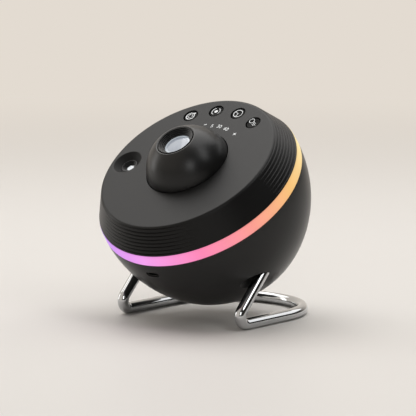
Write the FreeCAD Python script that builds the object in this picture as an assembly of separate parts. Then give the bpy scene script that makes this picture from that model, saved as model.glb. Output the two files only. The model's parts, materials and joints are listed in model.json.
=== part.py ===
import FreeCAD, Part
import math
import os

# Planetarium projector: a black ball cut flat on top, leaning forward on a bent chrome rod.
# The body is drawn about its own axis: w runs along the axis, w = 0 is the upper edge of the
# light ring, azimuth 0 is the right-hand side and azimuth -90 the front. Afterwards the body
# leans forward by tilt and stands over its feet, with z = 0 on the table. Millimetres.

V = FreeCAD.Vector
ORIGIN = V(0, 0, 0)

# ---- housing ----
ring_radius = 65.0          # housing radius at the upper edge of the light ring
bowl_flare = 0.3            # how much wider the bowl is under the light ring
bowl_depth = 73.0           # depth of the bowl below the light ring
flank_excess = 6.0          # how much the bowl's section radius beside the ring exceeds its depth
band_height = 7.3           # visible height of the light ring
face_height = 16.0          # flat face above the light ring
face_inset = 8.4            # from the housing radius in to where the sloping wall meets the face
face_edge = 2.2             # rounding between wall and face
wall = 2.5                  # moulded wall
seam = 0.35                 # small break on the edges beside the light ring
tilt = 37.5                 # forward lean of the body axis

# ---- fine grooves in the sloping wall, in three fading patches ----
groove_count = 8
groove_pitch = 1.95
groove_top = 15.0           # height of the uppermost groove
groove_depth = 0.9
groove_width = 1.1
groove_floor = 0.45
groove_reach = 36.0         # half the arc that a patch covers, in degrees
groove_patches = 3
first_patch = -90.0         # one patch is centred on the front

# ---- light ring and its lamps ----
band_thick = 4.0
sleeve_thick = 1.6
sleeve_lap = 2.0            # how far the sleeve reaches into each shell
led_count = 24
led_size = 3.5
led_thick = 0.85
led_air = 0.2
strip_thick = 0.5
strip_width = 5.0

# ---- dome and lens ----
dome_ball = 26.8            # the dome is a piece of a ball of this radius
dome_sink = 5.3             # the ball's centre lies this far below the face
dome_wall = 2.0
dome_gap = 0.2
dome_flange = 3.8
flange_thick = 2.0
mouth_radius = 11.4         # opening at the top of the dome
mouth_round = 1.0
step_count = 4              # light-trap steps between mouth and lens
step_fall = 0.75
step_run = 0.72
baffle_drop = 0.5           # baffle rim below the mouth
lens_edge = 3.6
lens_crown = 0.6
lens_seat = 1.0
slip = 0.1                  # gap round parts that drop into a seat
barrel_wall = 2.6
keeper_height = 1.5         # collar under the barrel's foot that keeps the film clip down
foot_thick = 1.8
foot_radius = 31.0
ear_radius = 3.4
ear_circle = 34.0
rear_lens_radius = 9.2
rear_lens_edge = 1.4
rear_lens_crown = 1.3
lens_ring_height = 1.1

# ---- star laser ----
laser_azimuth = 185.3
laser_inset = 20.2          # from the housing radius in to the laser's axis
dish_radius = 9.4
dish_depth = 3.0
dish_round = 1.2
pit_radius = 5.2
dish_wall = 1.8
bezel_steps = 3
bezel_height = 3.6
bezel_step = 0.6
window_radius = 3.4
window_thick = 1.0
laser_radius = 4.5
laser_length = 22.0
laser_lens_radius = 1.6
laser_grip = 8.0

# ---- gear train ----
film_teeth = 56
pinion_teeth = 16
grating_teeth = 24
backlash = 0.12
pressure_angle = 20.0
gear_low = -0.7
gear_thick = 4.0
running = 0.05              # radial clearance of a running fit
collar_inset = 3.9          # from the film wheel's pitch circle in to its bearing
collar_wall = 3.0
collar_top = 3.0
film_thick = 0.8
film_clip_thick = 0.8
film_ledge = 2.6
float_gap = 0.3             # end float of the turning parts
grating_collar = 5.6
grating_bore = 4.0
grating_film_radius = 7.2
grating_film_thick = 0.5
grating_rim = 0.8
shaft_radius = 1.0
motor_radius = 7.4
motor_length = 12.0
motor_boss = 3.0
motor_ear_reach = 10.0
motor_ear_radius = 2.8
motor_ear_thick = 0.8
motor_ear_turn = 30.0

# ---- inner frame ----
frame_low = -4.0
frame_top = -1.0
rim_thick = 1.4
rim_low = -7.5
rim_top = 0.5
post_radius = 3.5
post_inset = 6.45           # from the frame's rim in to the screw posts
post_azimuths = (30.0, 150.0, -90.0)
leg_radius = 4.0
leg_circle = 34.0
leg_azimuths = (90.0, -30.0, -150.0)
leg_end = -44.0
boss_radius = 4.8
shelf = 6.0                 # plastic between the leg and the screw head

# ---- lamp ----
condenser_radius = 13.8
condenser_edge = 1.5
condenser_crown = 4.0
condenser_ledge = 1.3
lamp_board_radius = 10.0
lamp_board_thick = 1.6
lamp_board_top = -9.0
lamp_led_radius = 2.8
lamp_led_base = 1.2
lamp_led_edge = 0.3
reflector_wall = 0.8
reflector_flange = 13.4
sink_radius = 20.0
sink_base = 4.0
sink_length = 27.0
fin_count = 9
fin_thick = 1.3
fin_pitch = 4.3
sink_post_circle = 17.0
sink_post_radius = 2.5

# ---- buttons and indicator ----
button_names = ("mode_button", "brightness_button", "timer_button", "speed_button")
button_inset = 9.9          # from the face's radius in to the button centres
button_middle = 88.0        # azimuth of the middle of the row
button_step = 21.5
button_radius = 4.45
button_hole = 4.85
button_round = 0.5
button_rim = 1.2            # raised rim round the hollow of the cap
button_sink = 0.35          # cap top below the face
button_crown = 0.3
button_travel = 1.0
button_flange = 5.6
button_flange_thick = 1.1
button_free = 0.1           # play between flange and face
stem_radius = 1.6
stem_entry = 1.4
switch_size = 6.0
switch_height = 3.4
board_thick = 1.2
button_board_drop = 5.9     # board's top below the underside of the face
button_board_in = 31.8
button_board_margin = 6.3   # board beyond the button centres
button_board_span = 84.0
indicator_inset = 13.5      # from the button centres in to the indicator
indicator_width = 4.0
indicator_span = 50.0
indicator_middle = 79.0
indicator_air = 0.4         # between the indicator's lamps and its light guide
indicator_lamps = 5
indicator_lamp_size = 1.6
indicator_lamp_height = 1.0
stand_off_radius = 2.3
stand_off_inset = 2.0       # from two flange radii off the buttons back to the middle post

# ---- main board and power socket ----
main_board_drop = 13.0      # board's top below the frame plate
main_board_in = 24.0
main_board_inset = 6.8      # from the bowl's widest section in to the board's edge
main_board_span = 96.0
inner_board_post = 4.0      # inner screw post, from the board's inner edge
port_width = 8.94
port_tall = 3.26
port_shell = 0.3
port_long = 7.3
port_sink = 0.9             # mouth of the socket behind the bowl's surface
port_clear = 0.25
tongue_width = 6.7
tongue_thick = 0.7
parts_circle = 39.0
chip_azimuth = -105.0
can_azimuths = (-82.0, -70.0)
chip_size = 9.0
chip_height = 1.6
can_radius = 3.2
can_height = 8.0

# ---- vents round the pole of the bowl ----
vent_count = 12
vent_width = 1.8
vent_in = 12.0
vent_out = 22.0

# ---- stand ----
rod_radius = 3.5
foot_spacing = 92.0         # between the centrelines of the two feet
ring_above_table = 84.0     # centre of the light ring above the table
strut_angle = 45.3          # rise of the struts from the table
strut_ahead = 22.7          # where strut and foot centrelines meet, ahead of the ring centre
front_bend = 5.0
rear_bend = 44.0
rear_reach = 74.2           # rear cross bar behind the ring centre
grip = 24.0                 # rod length held inside the bowl
socket_wall = 2.8
rod_fit = 0.05
relief_radius = 5.6         # round pocket in the bowl ahead of each strut
relief_inward = 1.9         # its axis inward of the strut
relief_ahead = 1.9          # its axis ahead of the strut
relief_deep = 8.0           # its floor beyond the point where the strut meets the bowl
relief_wall = 2.0

# ---- screws ----
screw_radius = 1.1
screw_head = 2.2
screw_head_height = 1.5
pilot_fit = 0.05
screw_bite = 7.0
hole_play = 0.4
big_screw_radius = 1.45
big_screw_head = 2.8
big_screw_head_height = 2.0
big_screw_bite = 10.0



def crown_radius(radius, depth, flank):
    """Section radius at the pole of an oval that starts upright with the flank radius."""
    return (radius ** 2 + depth ** 2 - 2.0 * radius * flank) / (2.0 * (depth - flank))


def oval_joint(radius, depth, flank):
    """Centres of both arcs of an oval section, and the direction in which they meet."""
    crown = crown_radius(radius, depth, flank)
    flank_centre = V(radius - flank, 0, 0)
    crown_centre = V(0, 0, depth - crown)
    meet = (crown_centre - flank_centre) * math.copysign(1.0, flank - crown)
    return flank_centre, crown_centre, meet.normalize()


# ---- sizes that follow ----
bowl_radius = ring_radius + bowl_flare
bowl_flank = bowl_depth + flank_excess
face_radius = ring_radius - face_inset
wall_run = face_inset / face_height
wall_level = wall * math.sqrt(1.0 + wall_run ** 2)
face_under = face_height - wall
sleeve_out = ring_radius - band_thick
sleeve_in = sleeve_out - sleeve_thick
strip_out = sleeve_in - led_air - led_thick
rim_out = strip_out - strip_thick
rim_in = rim_out - rim_thick
post_circle = rim_in - post_inset
laser_circle = ring_radius - laser_inset
module = 2.0 * laser_circle / (film_teeth + 2.0 * pinion_teeth + grating_teeth)
film_pitch = module * film_teeth / 2.0
pinion_pitch = module * pinion_teeth / 2.0
grating_pitch = module * grating_teeth / 2.0
pinion_circle = film_pitch + pinion_pitch
collar_radius = film_pitch - collar_inset
dome_centre = face_height - dome_sink
dome_radius = math.sqrt(dome_ball ** 2 - dome_sink ** 2)
mouth_height = dome_centre + math.sqrt(dome_ball ** 2 - mouth_radius ** 2)
baffle_top = mouth_height - baffle_drop
baffle_radius = mouth_radius - slip
lens_opening = baffle_radius - step_run * (step_count + 0.5)
lens_radius = lens_opening + lens_seat
lens_top = baffle_top - step_fall * (step_count + 1)
lens_low = lens_top - lens_edge
barrel_out = baffle_radius
barrel_in = barrel_out - barrel_wall
flange_low = face_under - flange_thick
dish_floor = face_height - dish_depth
bezel_low = dish_floor - bezel_height
gear_top = gear_low + gear_thick
film_seat = collar_top + float_gap + film_thick
film_top = film_seat + film_thick
wheel_top = film_top + film_clip_thick
barrel_low = wheel_top + float_gap + keeper_height
foot_top = barrel_low + foot_thick
sink_top = lamp_board_top - lamp_board_thick
button_circle = face_radius - button_inset
indicator_circle = button_circle - indicator_inset
button_board_top = face_under - button_board_drop
button_board_out = button_circle + button_board_margin
switch_top = button_board_top + switch_height
indicator_low = button_board_top + indicator_lamp_height + indicator_air
main_board_top = frame_low - main_board_drop
main_board_out = bowl_radius - main_board_inset
main_board_posts = ((post_circle, -120.0), (post_circle, -60.0),
                    (main_board_in + inner_board_post, -90.0))
axle_line = V(math.cos(math.radians(laser_azimuth)), math.sin(math.radians(laser_azimuth)), 0)


# ---- shapes that recur ----
def polar(radius, azimuth, height=0.0):
    """Point at a radius, azimuth in degrees and height."""
    angle = math.radians(azimuth)
    return V(radius * math.cos(angle), radius * math.sin(angle), height)


def outline(corners):
    """Closed wire in the XZ plane through (x, z) or (x, z, rounding) corners."""
    points = [V(corner[0], 0, corner[1]) for corner in corners]
    starts = []
    ends = []
    arcs = []
    for i, corner in enumerate(corners):
        here = points[i]
        rounding = corner[2] if len(corner) > 2 else 0.0
        if rounding <= 0.0:
            starts.append(here)
            ends.append(here)
            arcs.append(None)
            continue
        back = (points[i - 1] - here).normalize()
        ahead = (points[(i + 1) % len(points)] - here).normalize()
        half = back.getAngle(ahead) / 2.0
        inward = (back + ahead).normalize()
        starts.append(here + back * (rounding / math.tan(half)))
        ends.append(here + ahead * (rounding / math.tan(half)))
        arcs.append(here + inward * (rounding / math.sin(half) - rounding))
    edges = []
    for i in range(len(corners)):
        if arcs[i] is not None:
            edges.append(Part.Arc(starts[i], arcs[i], ends[i]).toShape())
        following = starts[(i + 1) % len(corners)]
        if (following - ends[i]).Length > 1e-6:
            edges.append(Part.makeLine(ends[i], following))
    return Part.Wire(edges)


def turned(corners):
    """Solid of revolution about the axis from (radius, height[, rounding]) corners."""
    return Part.Face(outline(corners)).revolve(ORIGIN, V(0, 0, 1), 360)


def post(radius, low, high, at=ORIGIN):
    """Upright cylinder between two heights."""
    return Part.makeCylinder(radius, high - low, V(at.x, at.y, low))


def tube(outer, inner, low, high, at=ORIGIN):
    """Upright tube between two heights."""
    return post(outer, low, high, at).cut(post(inner, low - 1, high + 1, at))


def sector(inner, outer, middle, span, low, high):
    """Plate shaped as a piece of a ring, centred on an azimuth."""
    start = polar(1, middle - span / 2.0)
    plate = Part.makeCylinder(outer, high - low, V(0, 0, low), V(0, 0, 1), span)
    plate = plate.cut(post(inner, low - 1, high + 1))
    plate.rotate(ORIGIN, V(0, 0, 1), math.degrees(math.atan2(start.y, start.x)))
    return plate


def block(across, along, low, high, at, azimuth):
    """Box centred on a point, with its length pointing along an azimuth."""
    box = Part.makeBox(along, across, high - low, V(-along / 2.0, -across / 2.0, low))
    box.rotate(ORIGIN, V(0, 0, 1), azimuth)
    box.translate(V(at.x, at.y, 0))
    return box


def slot_prism(width, tall, length):
    """Prism with round ends, its width along x, height along z, running along +y from y = 0."""
    half = (width - tall) / 2.0
    radius = tall / 2.0
    right = Part.Arc(V(half, 0, -radius), V(half + radius, 0, 0), V(half, 0, radius)).toShape()
    left = Part.Arc(V(-half, 0, radius), V(-half - radius, 0, 0), V(-half, 0, -radius)).toShape()
    top = Part.makeLine(V(half, 0, radius), V(-half, 0, radius))
    bottom = Part.makeLine(V(-half, 0, -radius), V(half, 0, -radius))
    return Part.Face(Part.Wire([right, top, left, bottom])).extrude(V(0, length, 0))


def egg_half(radius, depth, flank, top, inset):
    """Solid half egg hanging below a height, its surface set in by a wall."""
    flank_centre, crown_centre, meet = oval_joint(radius, depth, flank)
    start = V(radius - inset, 0, 0)
    joint = flank_centre + meet * (flank - inset)
    pole = V(0, 0, depth - inset)
    first = ((start - flank_centre) + (joint - flank_centre)).normalize()
    second = ((joint - crown_centre) + (pole - crown_centre)).normalize()
    crown = crown_radius(radius, depth, flank)
    arcs = [Part.Arc(start, flank_centre + first * (flank - inset), joint).toShape(),
            Part.Arc(joint, crown_centre + second * (crown - inset), pole).toShape()]
    lid = [Part.makeLine(pole, ORIGIN), Part.makeLine(ORIGIN, start)]
    solid = Part.Face(Part.Wire(arcs + lid)).revolve(ORIGIN, V(0, 0, 1), 360)
    solid = solid.mirror(ORIGIN, V(0, 0, 1))
    solid.translate(V(0, 0, top))
    return solid


def crown_arc(radius, height, crown):
    """Arc from a lens's edge up, or for a negative crown down, to its axis."""
    ball = (radius ** 2 + crown ** 2) / (2.0 * abs(crown))
    half = math.asin(radius / ball) / 2.0
    middle = abs(crown) - ball * (1.0 - math.cos(half))
    rise = math.copysign(1.0, crown)
    return Part.Arc(V(radius, 0, height), V(ball * math.sin(half), 0, height + rise * middle),
                    V(0, 0, height + crown)).toShape()


def crown_lens(radius, low, edge, crown):
    """Lens with a flat back, a straight edge and a bulging front."""
    back = Part.makeLine(V(0, 0, low), V(radius, 0, low))
    side = Part.makeLine(V(radius, 0, low), V(radius, 0, low + edge))
    axis = Part.makeLine(V(0, 0, low + edge + crown), V(0, 0, low))
    rim = Part.Wire([back, side, crown_arc(radius, low + edge, crown), axis])
    return Part.Face(rim).revolve(ORIGIN, V(0, 0, 1), 360)


def screw(at, seat, tip, radius=screw_radius, head=screw_head, head_height=screw_head_height):
    """Screw driven upwards, with its head under the seat height."""
    shank = post(radius, seat - head_height / 2.0, tip, at)
    return shank.fuse(post(head, seat - head_height, seat, at)).removeSplitter()


def involute(angle):
    """Involute function of an angle in radians."""
    return math.tan(angle) - angle


def gear(teeth, low, high, tooth_azimuth):
    """Involute spur gear blank with one tooth centred on an azimuth."""
    pitch = module * teeth / 2.0
    base = pitch * math.cos(math.radians(pressure_angle))
    root = pitch - 1.2 * module
    tip = pitch + 0.95 * module
    half_tooth = math.pi / (2.0 * teeth) - backlash / (2.0 * pitch)
    flank = []
    for radius in (max(root, base), pitch, (pitch + tip) / 2.0, tip):
        lean = involute(math.acos(base / radius))
        flank.append((radius, half_tooth + involute(math.radians(pressure_angle)) - lean))
    tooth = [(root, flank[0][1])] if root < base else []
    tooth = tooth + flank
    points = []
    for i in range(teeth):
        centre = math.radians(tooth_azimuth) + 2.0 * math.pi * i / teeth
        points += [polar(r, math.degrees(centre - a), low) for r, a in tooth]
        points += [polar(r, math.degrees(centre + a), low) for r, a in reversed(tooth)]
    return Part.Face(Part.makePolygon(points + [points[0]])).extrude(V(0, 0, high - low))


# ---- housing ----
def make_upper_shell():
    """Flat face and sloping grooved wall in one moulding, with its posts and the laser dish."""
    under_radius = face_radius + wall_run * wall - wall_level
    shell = turned([
        (ring_radius, 0.0, seam),
        (face_radius, face_height, face_edge),
        (dome_radius + dome_gap, face_height),
        (dome_radius + dome_gap, face_under),
        (under_radius, face_under),
        (ring_radius - wall_level, 0.0),
    ])
    laser_at = polar(laser_circle, laser_azimuth)
    shell = shell.fuse([post(pit_radius + dish_wall, bezel_low, face_under, laser_at),
                        post(dish_radius + dish_wall, dish_floor - dish_wall, face_under, laser_at)])
    posts = [post(post_radius, frame_top, face_under, polar(post_circle, a)) for a in post_azimuths]
    posts += [post(ear_radius, foot_top, face_under, polar(ear_circle, a)) for a in post_azimuths]
    posts += [post(stand_off_radius, button_board_top, face_under, p) for p in button_board_points()]
    shell = shell.fuse(posts)
    holes = [post(screw_radius + pilot_fit, frame_top - 1, frame_top + screw_bite + 1,
                  polar(post_circle, a)) for a in post_azimuths]
    holes += [post(screw_radius + pilot_fit, foot_top - 1, face_under, polar(ear_circle, a))
              for a in post_azimuths]
    holes += [post(screw_radius + pilot_fit, button_board_top - 1, face_under, p)
              for p in button_board_points()]
    holes += [post(button_hole, 0.0, face_height + 1, at) for at in button_points()]
    holes.append(post(pit_radius, bezel_low - 1, face_height, laser_at))
    holes.append(laser_dish(laser_at))
    return shell.cut(holes + groove_cutters()).removeSplitter()


def laser_dish(at):
    """Cutter for the shallow dish round the star laser, with a rolled outer edge."""
    dish = turned([
        (0.0, dish_floor),
        (pit_radius, dish_floor),
        (dish_radius, face_height, dish_round),
        (dish_radius + 2 * dish_round, face_height),
        (dish_radius + 2 * dish_round, face_height + 1),
        (0.0, face_height + 1),
    ])
    dish.translate(at)
    return dish


def groove_cutters():
    """Rings set off the body axis, so that each groove is deepest mid-patch and fades out."""
    shift = groove_depth / (1.0 - math.cos(math.radians(groove_reach)))
    spread = (groove_width - groove_floor) / 2.0 / groove_depth
    reach = 2.0 * groove_depth
    cutters = []
    for patch in range(groove_patches):
        azimuth = first_patch + 360.0 * patch / groove_patches
        for i in range(groove_count):
            height = groove_top - i * groove_pitch
            floor = ring_radius - wall_run * height - groove_depth + shift
            half_floor = groove_floor / 2.0
            half_mouth = half_floor + spread * reach
            ring = turned([
                (floor, height - half_floor),
                (floor + reach, height - half_mouth),
                (floor + reach, height + half_mouth),
                (floor, height + half_floor),
            ])
            ring.translate(polar(-shift, azimuth))
            cutters.append(ring)
    return cutters


def make_light_ring():
    """Frosted band flush with both shells, on a sleeve that locates them."""
    return turned([
        (sleeve_in, -band_height - sleeve_lap),
        (sleeve_out, -band_height - sleeve_lap),
        (sleeve_out, -band_height),
        (bowl_radius, -band_height, seam),
        (ring_radius, 0.0, seam),
        (sleeve_out, 0.0),
        (sleeve_out, sleeve_lap),
        (sleeve_in, sleeve_lap),
    ])


def make_ring_led_strip():
    """Flexible strip wound round the frame's rim."""
    return tube(strip_out, rim_out, -band_height / 2.0 - strip_width / 2.0,
                -band_height / 2.0 + strip_width / 2.0)


def make_ring_leds():
    """Colour lamps spaced round the strip."""
    lamps = []
    middle = -band_height / 2.0
    for i in range(led_count):
        azimuth = 360.0 * i / led_count
        at = polar(strip_out + led_thick / 2.0, azimuth)
        lamp = block(led_size, 2 * led_thick, middle - led_size / 2.0, middle + led_size / 2.0,
                     at, azimuth)
        lamps.append(lamp.common(tube(strip_out + led_thick, strip_out, -band_height, 0.0)))
    return Part.makeCompound(lamps)


def bowl_solid(inset):
    """Solid of the bowl, its surface set in by a thickness."""
    return egg_half(bowl_radius, bowl_depth, bowl_flank, -band_height, inset)


def bowl_reach(height):
    """Outer radius of the bowl at a height beside the light ring."""
    flank_centre, _, _ = oval_joint(bowl_radius, bowl_depth, bowl_flank)
    return flank_centre.x + math.sqrt(bowl_flank ** 2 - (height + band_height) ** 2)


def make_lower_shell():
    """Bowl with screw bosses, vents and the socket opening; the stand sockets follow later."""
    shell = bowl_solid(0.0).cut(bowl_solid(wall))
    bosses = [post(boss_radius, -bowl_depth - band_height, leg_end, polar(leg_circle, a))
              for a in leg_azimuths]
    shell = shell.fuse([boss.common(bowl_solid(wall / 2.0)) for boss in bosses])
    bottom = -bowl_depth - band_height - 1
    cuts = [post(big_screw_head + hole_play, bottom, leg_end - shelf, polar(leg_circle, a))
            for a in leg_azimuths]
    cuts += [post(big_screw_radius + hole_play / 2.0, bottom, leg_end + 1, polar(leg_circle, a))
             for a in leg_azimuths]
    for i in range(vent_count):
        azimuth = 360.0 * (i + 0.5) / vent_count
        middle = (vent_in + vent_out) / 2.0
        long = vent_out - vent_in - vent_width
        vent = block(vent_width, long, bottom, leg_end - shelf, polar(middle, azimuth), azimuth)
        ends = [post(vent_width / 2.0, bottom, leg_end - shelf, polar(middle + s * long / 2.0, azimuth))
                for s in (-1, 1)]
        cuts.append(vent.fuse(ends).removeSplitter())
    opening = slot_prism(port_width + 2 * port_clear, port_tall + 2 * port_clear, wall + port_long)
    opening.translate(V(0, -bowl_radius - 1, port_height()))
    cuts.append(opening)
    return shell.cut(cuts)


# ---- dome and projection lens ----
def make_dome_cover():
    """Dome with a rolled mouth, held by a flange under the face."""
    centre = V(0, 0, dome_centre)
    outer = Part.makeSphere(dome_ball, centre).cut(post(dome_ball + 1, -dome_ball, face_height))
    skirt = post(dome_radius, flange_low, face_height)
    flange = post(dome_radius + dome_flange, flange_low, face_under)
    dome = outer.fuse([skirt, flange]).removeSplitter()
    bulge = Part.makeSphere(dome_ball - dome_wall, centre)
    bulge = bulge.cut(post(dome_ball, -dome_ball, dome_centre))
    bulge = bulge.common(post(dome_radius - dome_wall, dome_centre, dome_centre + dome_ball))
    hollow = bulge.fuse(post(dome_radius - dome_wall, flange_low - 1, dome_centre)).removeSplitter()
    dome = dome.cut([hollow, post(mouth_radius, dome_centre, dome_centre + dome_ball)])
    rim = [e for e in dome.Edges if abs(e.BoundBox.ZMax - mouth_height) < 0.01
           and abs(e.BoundBox.ZMin - mouth_height) < 0.01]
    return dome.makeFillet(mouth_round, rim)


def make_lens_baffle():
    """Stepped light trap between the dome's mouth and the lens."""
    corners = [(baffle_radius, lens_low), (baffle_radius, baffle_top)]
    radius = baffle_radius - step_run / 2.0
    height = baffle_top
    for _ in range(step_count):
        corners.append((radius, height))
        height -= step_fall
        corners.append((radius, height))
        radius -= step_run
    corners.append((lens_opening, height))
    corners.append((lens_opening, lens_top))
    corners.append((lens_radius + slip, lens_top))
    corners.append((lens_radius + slip, lens_low))
    return turned(corners)


def make_front_lens():
    """Projection lens, its crown standing in the baffle's opening."""
    body = post(lens_radius, lens_low, lens_top)
    crown = crown_lens(lens_opening - slip, lens_top - 1.0, 1.0, lens_crown)
    return body.fuse(crown).removeSplitter()


def make_lens_barrel():
    """Tube and clamping foot of the projection lens, with three screw ears."""
    barrel = turned([
        (barrel_in, barrel_low),
        (foot_radius, barrel_low),
        (foot_radius, foot_top),
        (dome_radius + dome_flange, foot_top),
        (dome_radius + dome_flange, flange_low),
        (dome_radius - dome_wall + slip, flange_low),
        (dome_radius - dome_wall + slip, foot_top),
        (barrel_out, foot_top, 1.0),
        (barrel_out, lens_low),
        (barrel_in, lens_low),
    ])
    keeper = tube(collar_radius + wall, collar_radius, wheel_top + float_gap, barrel_low)
    ears = []
    for azimuth in post_azimuths:
        at = polar(ear_circle, azimuth)
        ear = post(ear_radius, barrel_low, foot_top, at)
        neck = block(2 * ear_radius, ear_circle - foot_radius + wall, barrel_low, foot_top,
                     polar((ear_circle + foot_radius - wall) / 2.0, azimuth), azimuth)
        ears += [ear, neck]
    barrel = barrel.fuse([keeper] + ears)
    holes = [post(screw_radius + hole_play / 2.0, barrel_low - 1, foot_top + 1, polar(ear_circle, a))
             for a in post_azimuths]
    seat = post(rear_lens_radius + slip, barrel_low - 1, rear_lens_low() + rear_lens_edge)
    return barrel.cut(holes + [seat]).removeSplitter()


def rear_lens_low():
    """Lower end of the rear lens's straight edge."""
    return barrel_low + lens_ring_height


def make_rear_lens():
    """Rear lens element in the foot of the barrel."""
    lens = crown_lens(rear_lens_radius, rear_lens_low(), rear_lens_edge, rear_lens_crown)
    clear = tube(rear_lens_radius + 1, barrel_in - slip, rear_lens_low() + rear_lens_edge,
                 rear_lens_low() + rear_lens_edge + rear_lens_crown)
    return lens.cut(clear)


def make_lens_ring():
    """Ring that holds the rear lens in."""
    return tube(rear_lens_radius, rear_lens_radius - 1.4, barrel_low, rear_lens_low())


# ---- star film, gears and motor ----
def make_film_wheel():
    """Toothed carrier that turns on the frame's collar."""
    wheel = gear(film_teeth, gear_low, gear_top, laser_azimuth)
    outer = collar_radius + wall
    wheel = wheel.fuse(post(outer, gear_low, wheel_top)).removeSplitter()
    bore = post(collar_radius + running, gear_low - 1, collar_top + float_gap)
    light = post(collar_radius - film_ledge, gear_low, wheel_top + 1)
    seat = post(collar_radius + slip, film_seat, wheel_top + 1)
    return wheel.cut([bore, light, seat]).removeSplitter()


def make_film_disc():
    """Clear disc that carries the star picture."""
    return post(collar_radius, film_seat, film_top)


def make_film_clip():
    """Clip ring over the film disc."""
    return tube(collar_radius, collar_radius - film_ledge, film_top, wheel_top)


def make_drive_pinion():
    """Pinion between both wheels, with a boss."""
    at = axle_line * pinion_circle
    pinion = gear(pinion_teeth, gear_low, gear_top, laser_azimuth + 180.0 / pinion_teeth + 180.0)
    boss = post(shaft_radius + 1.6, gear_top, gear_top + 1.2)
    bore = post(shaft_radius + 0.01, gear_low - 1, gear_top + 2)
    pinion = pinion.fuse(boss).cut(bore)
    pinion.translate(at)
    return pinion


def make_motor_shaft():
    """Motor shaft that carries the pinion."""
    return post(shaft_radius, frame_low - motor_length + 2, gear_top + 1.6, axle_line * pinion_circle)


def make_drive_motor():
    """Small geared motor under the frame, with two ears and a shaft boss."""
    at = axle_line * pinion_circle
    motor = post(motor_radius, frame_low - motor_length, frame_low, at)
    motor = motor.fuse(post(motor_boss, frame_low, frame_top - 0.6, at))
    for point in motor_ear_points():
        ear = post(motor_ear_radius, frame_low - motor_ear_thick, frame_low, point)
        reach = point - at
        neck = block(2 * motor_ear_radius, reach.Length, frame_low - motor_ear_thick, frame_low,
                     at + reach * 0.5, math.degrees(math.atan2(reach.y, reach.x)))
        motor = motor.fuse([ear, neck])
    holes = [post(screw_radius + hole_play / 2.0, frame_low - 2, frame_low + 1, p)
             for p in motor_ear_points()]
    holes.append(post(shaft_radius + running, frame_low - motor_length + 1, frame_top, at))
    return motor.cut(holes).removeSplitter()


def motor_ear_points():
    """Centres of the motor's two screw ears, turned clear of the frame's legs."""
    side = polar(motor_ear_reach, laser_azimuth + 90.0 + motor_ear_turn)
    return [axle_line * pinion_circle + side * s for s in (-1, 1)]


def make_grating_wheel():
    """Small toothed wheel that turns the grating over the laser."""
    half_pitch = 180.0 / grating_teeth
    skew = half_pitch if pinion_teeth % 2 else 0.0
    wheel = gear(grating_teeth, gear_low, gear_top, laser_azimuth + 180.0 + skew)
    bore = post(grating_collar + running, gear_low - 1, collar_top + float_gap)
    light = post(grating_bore, gear_low, gear_top + grating_rim)
    wheel = wheel.fuse(post(grating_film_radius + grating_rim, gear_top, gear_top + 2 * grating_film_thick))
    seat = post(grating_film_radius + slip, gear_top + grating_film_thick, gear_top + grating_rim + 1)
    wheel = wheel.cut([bore, light, seat]).removeSplitter()
    wheel.translate(axle_line * laser_circle)
    return wheel


def make_grating_film():
    """Thin grating that splits the laser into stars."""
    return post(grating_film_radius, gear_top + grating_film_thick, gear_top + 2 * grating_film_thick,
                axle_line * laser_circle)


# ---- star laser ----
def make_laser_bezel():
    """Stepped ring at the bottom of the dish."""
    outer = pit_radius - slip
    corners = [(outer, bezel_low), (outer, dish_floor)]
    radius = outer - bezel_step
    height = dish_floor
    for _ in range(bezel_steps):
        corners.append((radius, height))
        height -= bezel_step
        corners.append((radius, height))
        radius -= bezel_step
    corners.append((window_radius - bezel_step, height))
    corners.append((window_radius - bezel_step, window_top()))
    corners.append((window_radius + slip, window_top()))
    corners.append((window_radius + slip, bezel_low))
    bezel = turned(corners)
    bezel.translate(axle_line * laser_circle)
    return bezel


def window_top():
    """Top of the laser window's seat."""
    return bezel_low + window_thick + bezel_step


def make_laser_window():
    """Small window over the laser beam."""
    return post(window_radius, bezel_low + bezel_step, window_top(), axle_line * laser_circle)


def make_laser_module():
    """Brass laser module with its collimating lens."""
    at = axle_line * laser_circle
    top = frame_top - float_gap
    body = post(laser_radius, top - laser_length, top, at)
    bezel = tube(laser_radius, laser_radius - 1.0, top - 1.0, top, at)
    core = body.cut(post(laser_radius - 1.0, top - 1.0, top + 1, at)).fuse(bezel)
    return core.fuse(post(laser_lens_radius, top - 1.2, top - 0.4, at)).removeSplitter()


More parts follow.
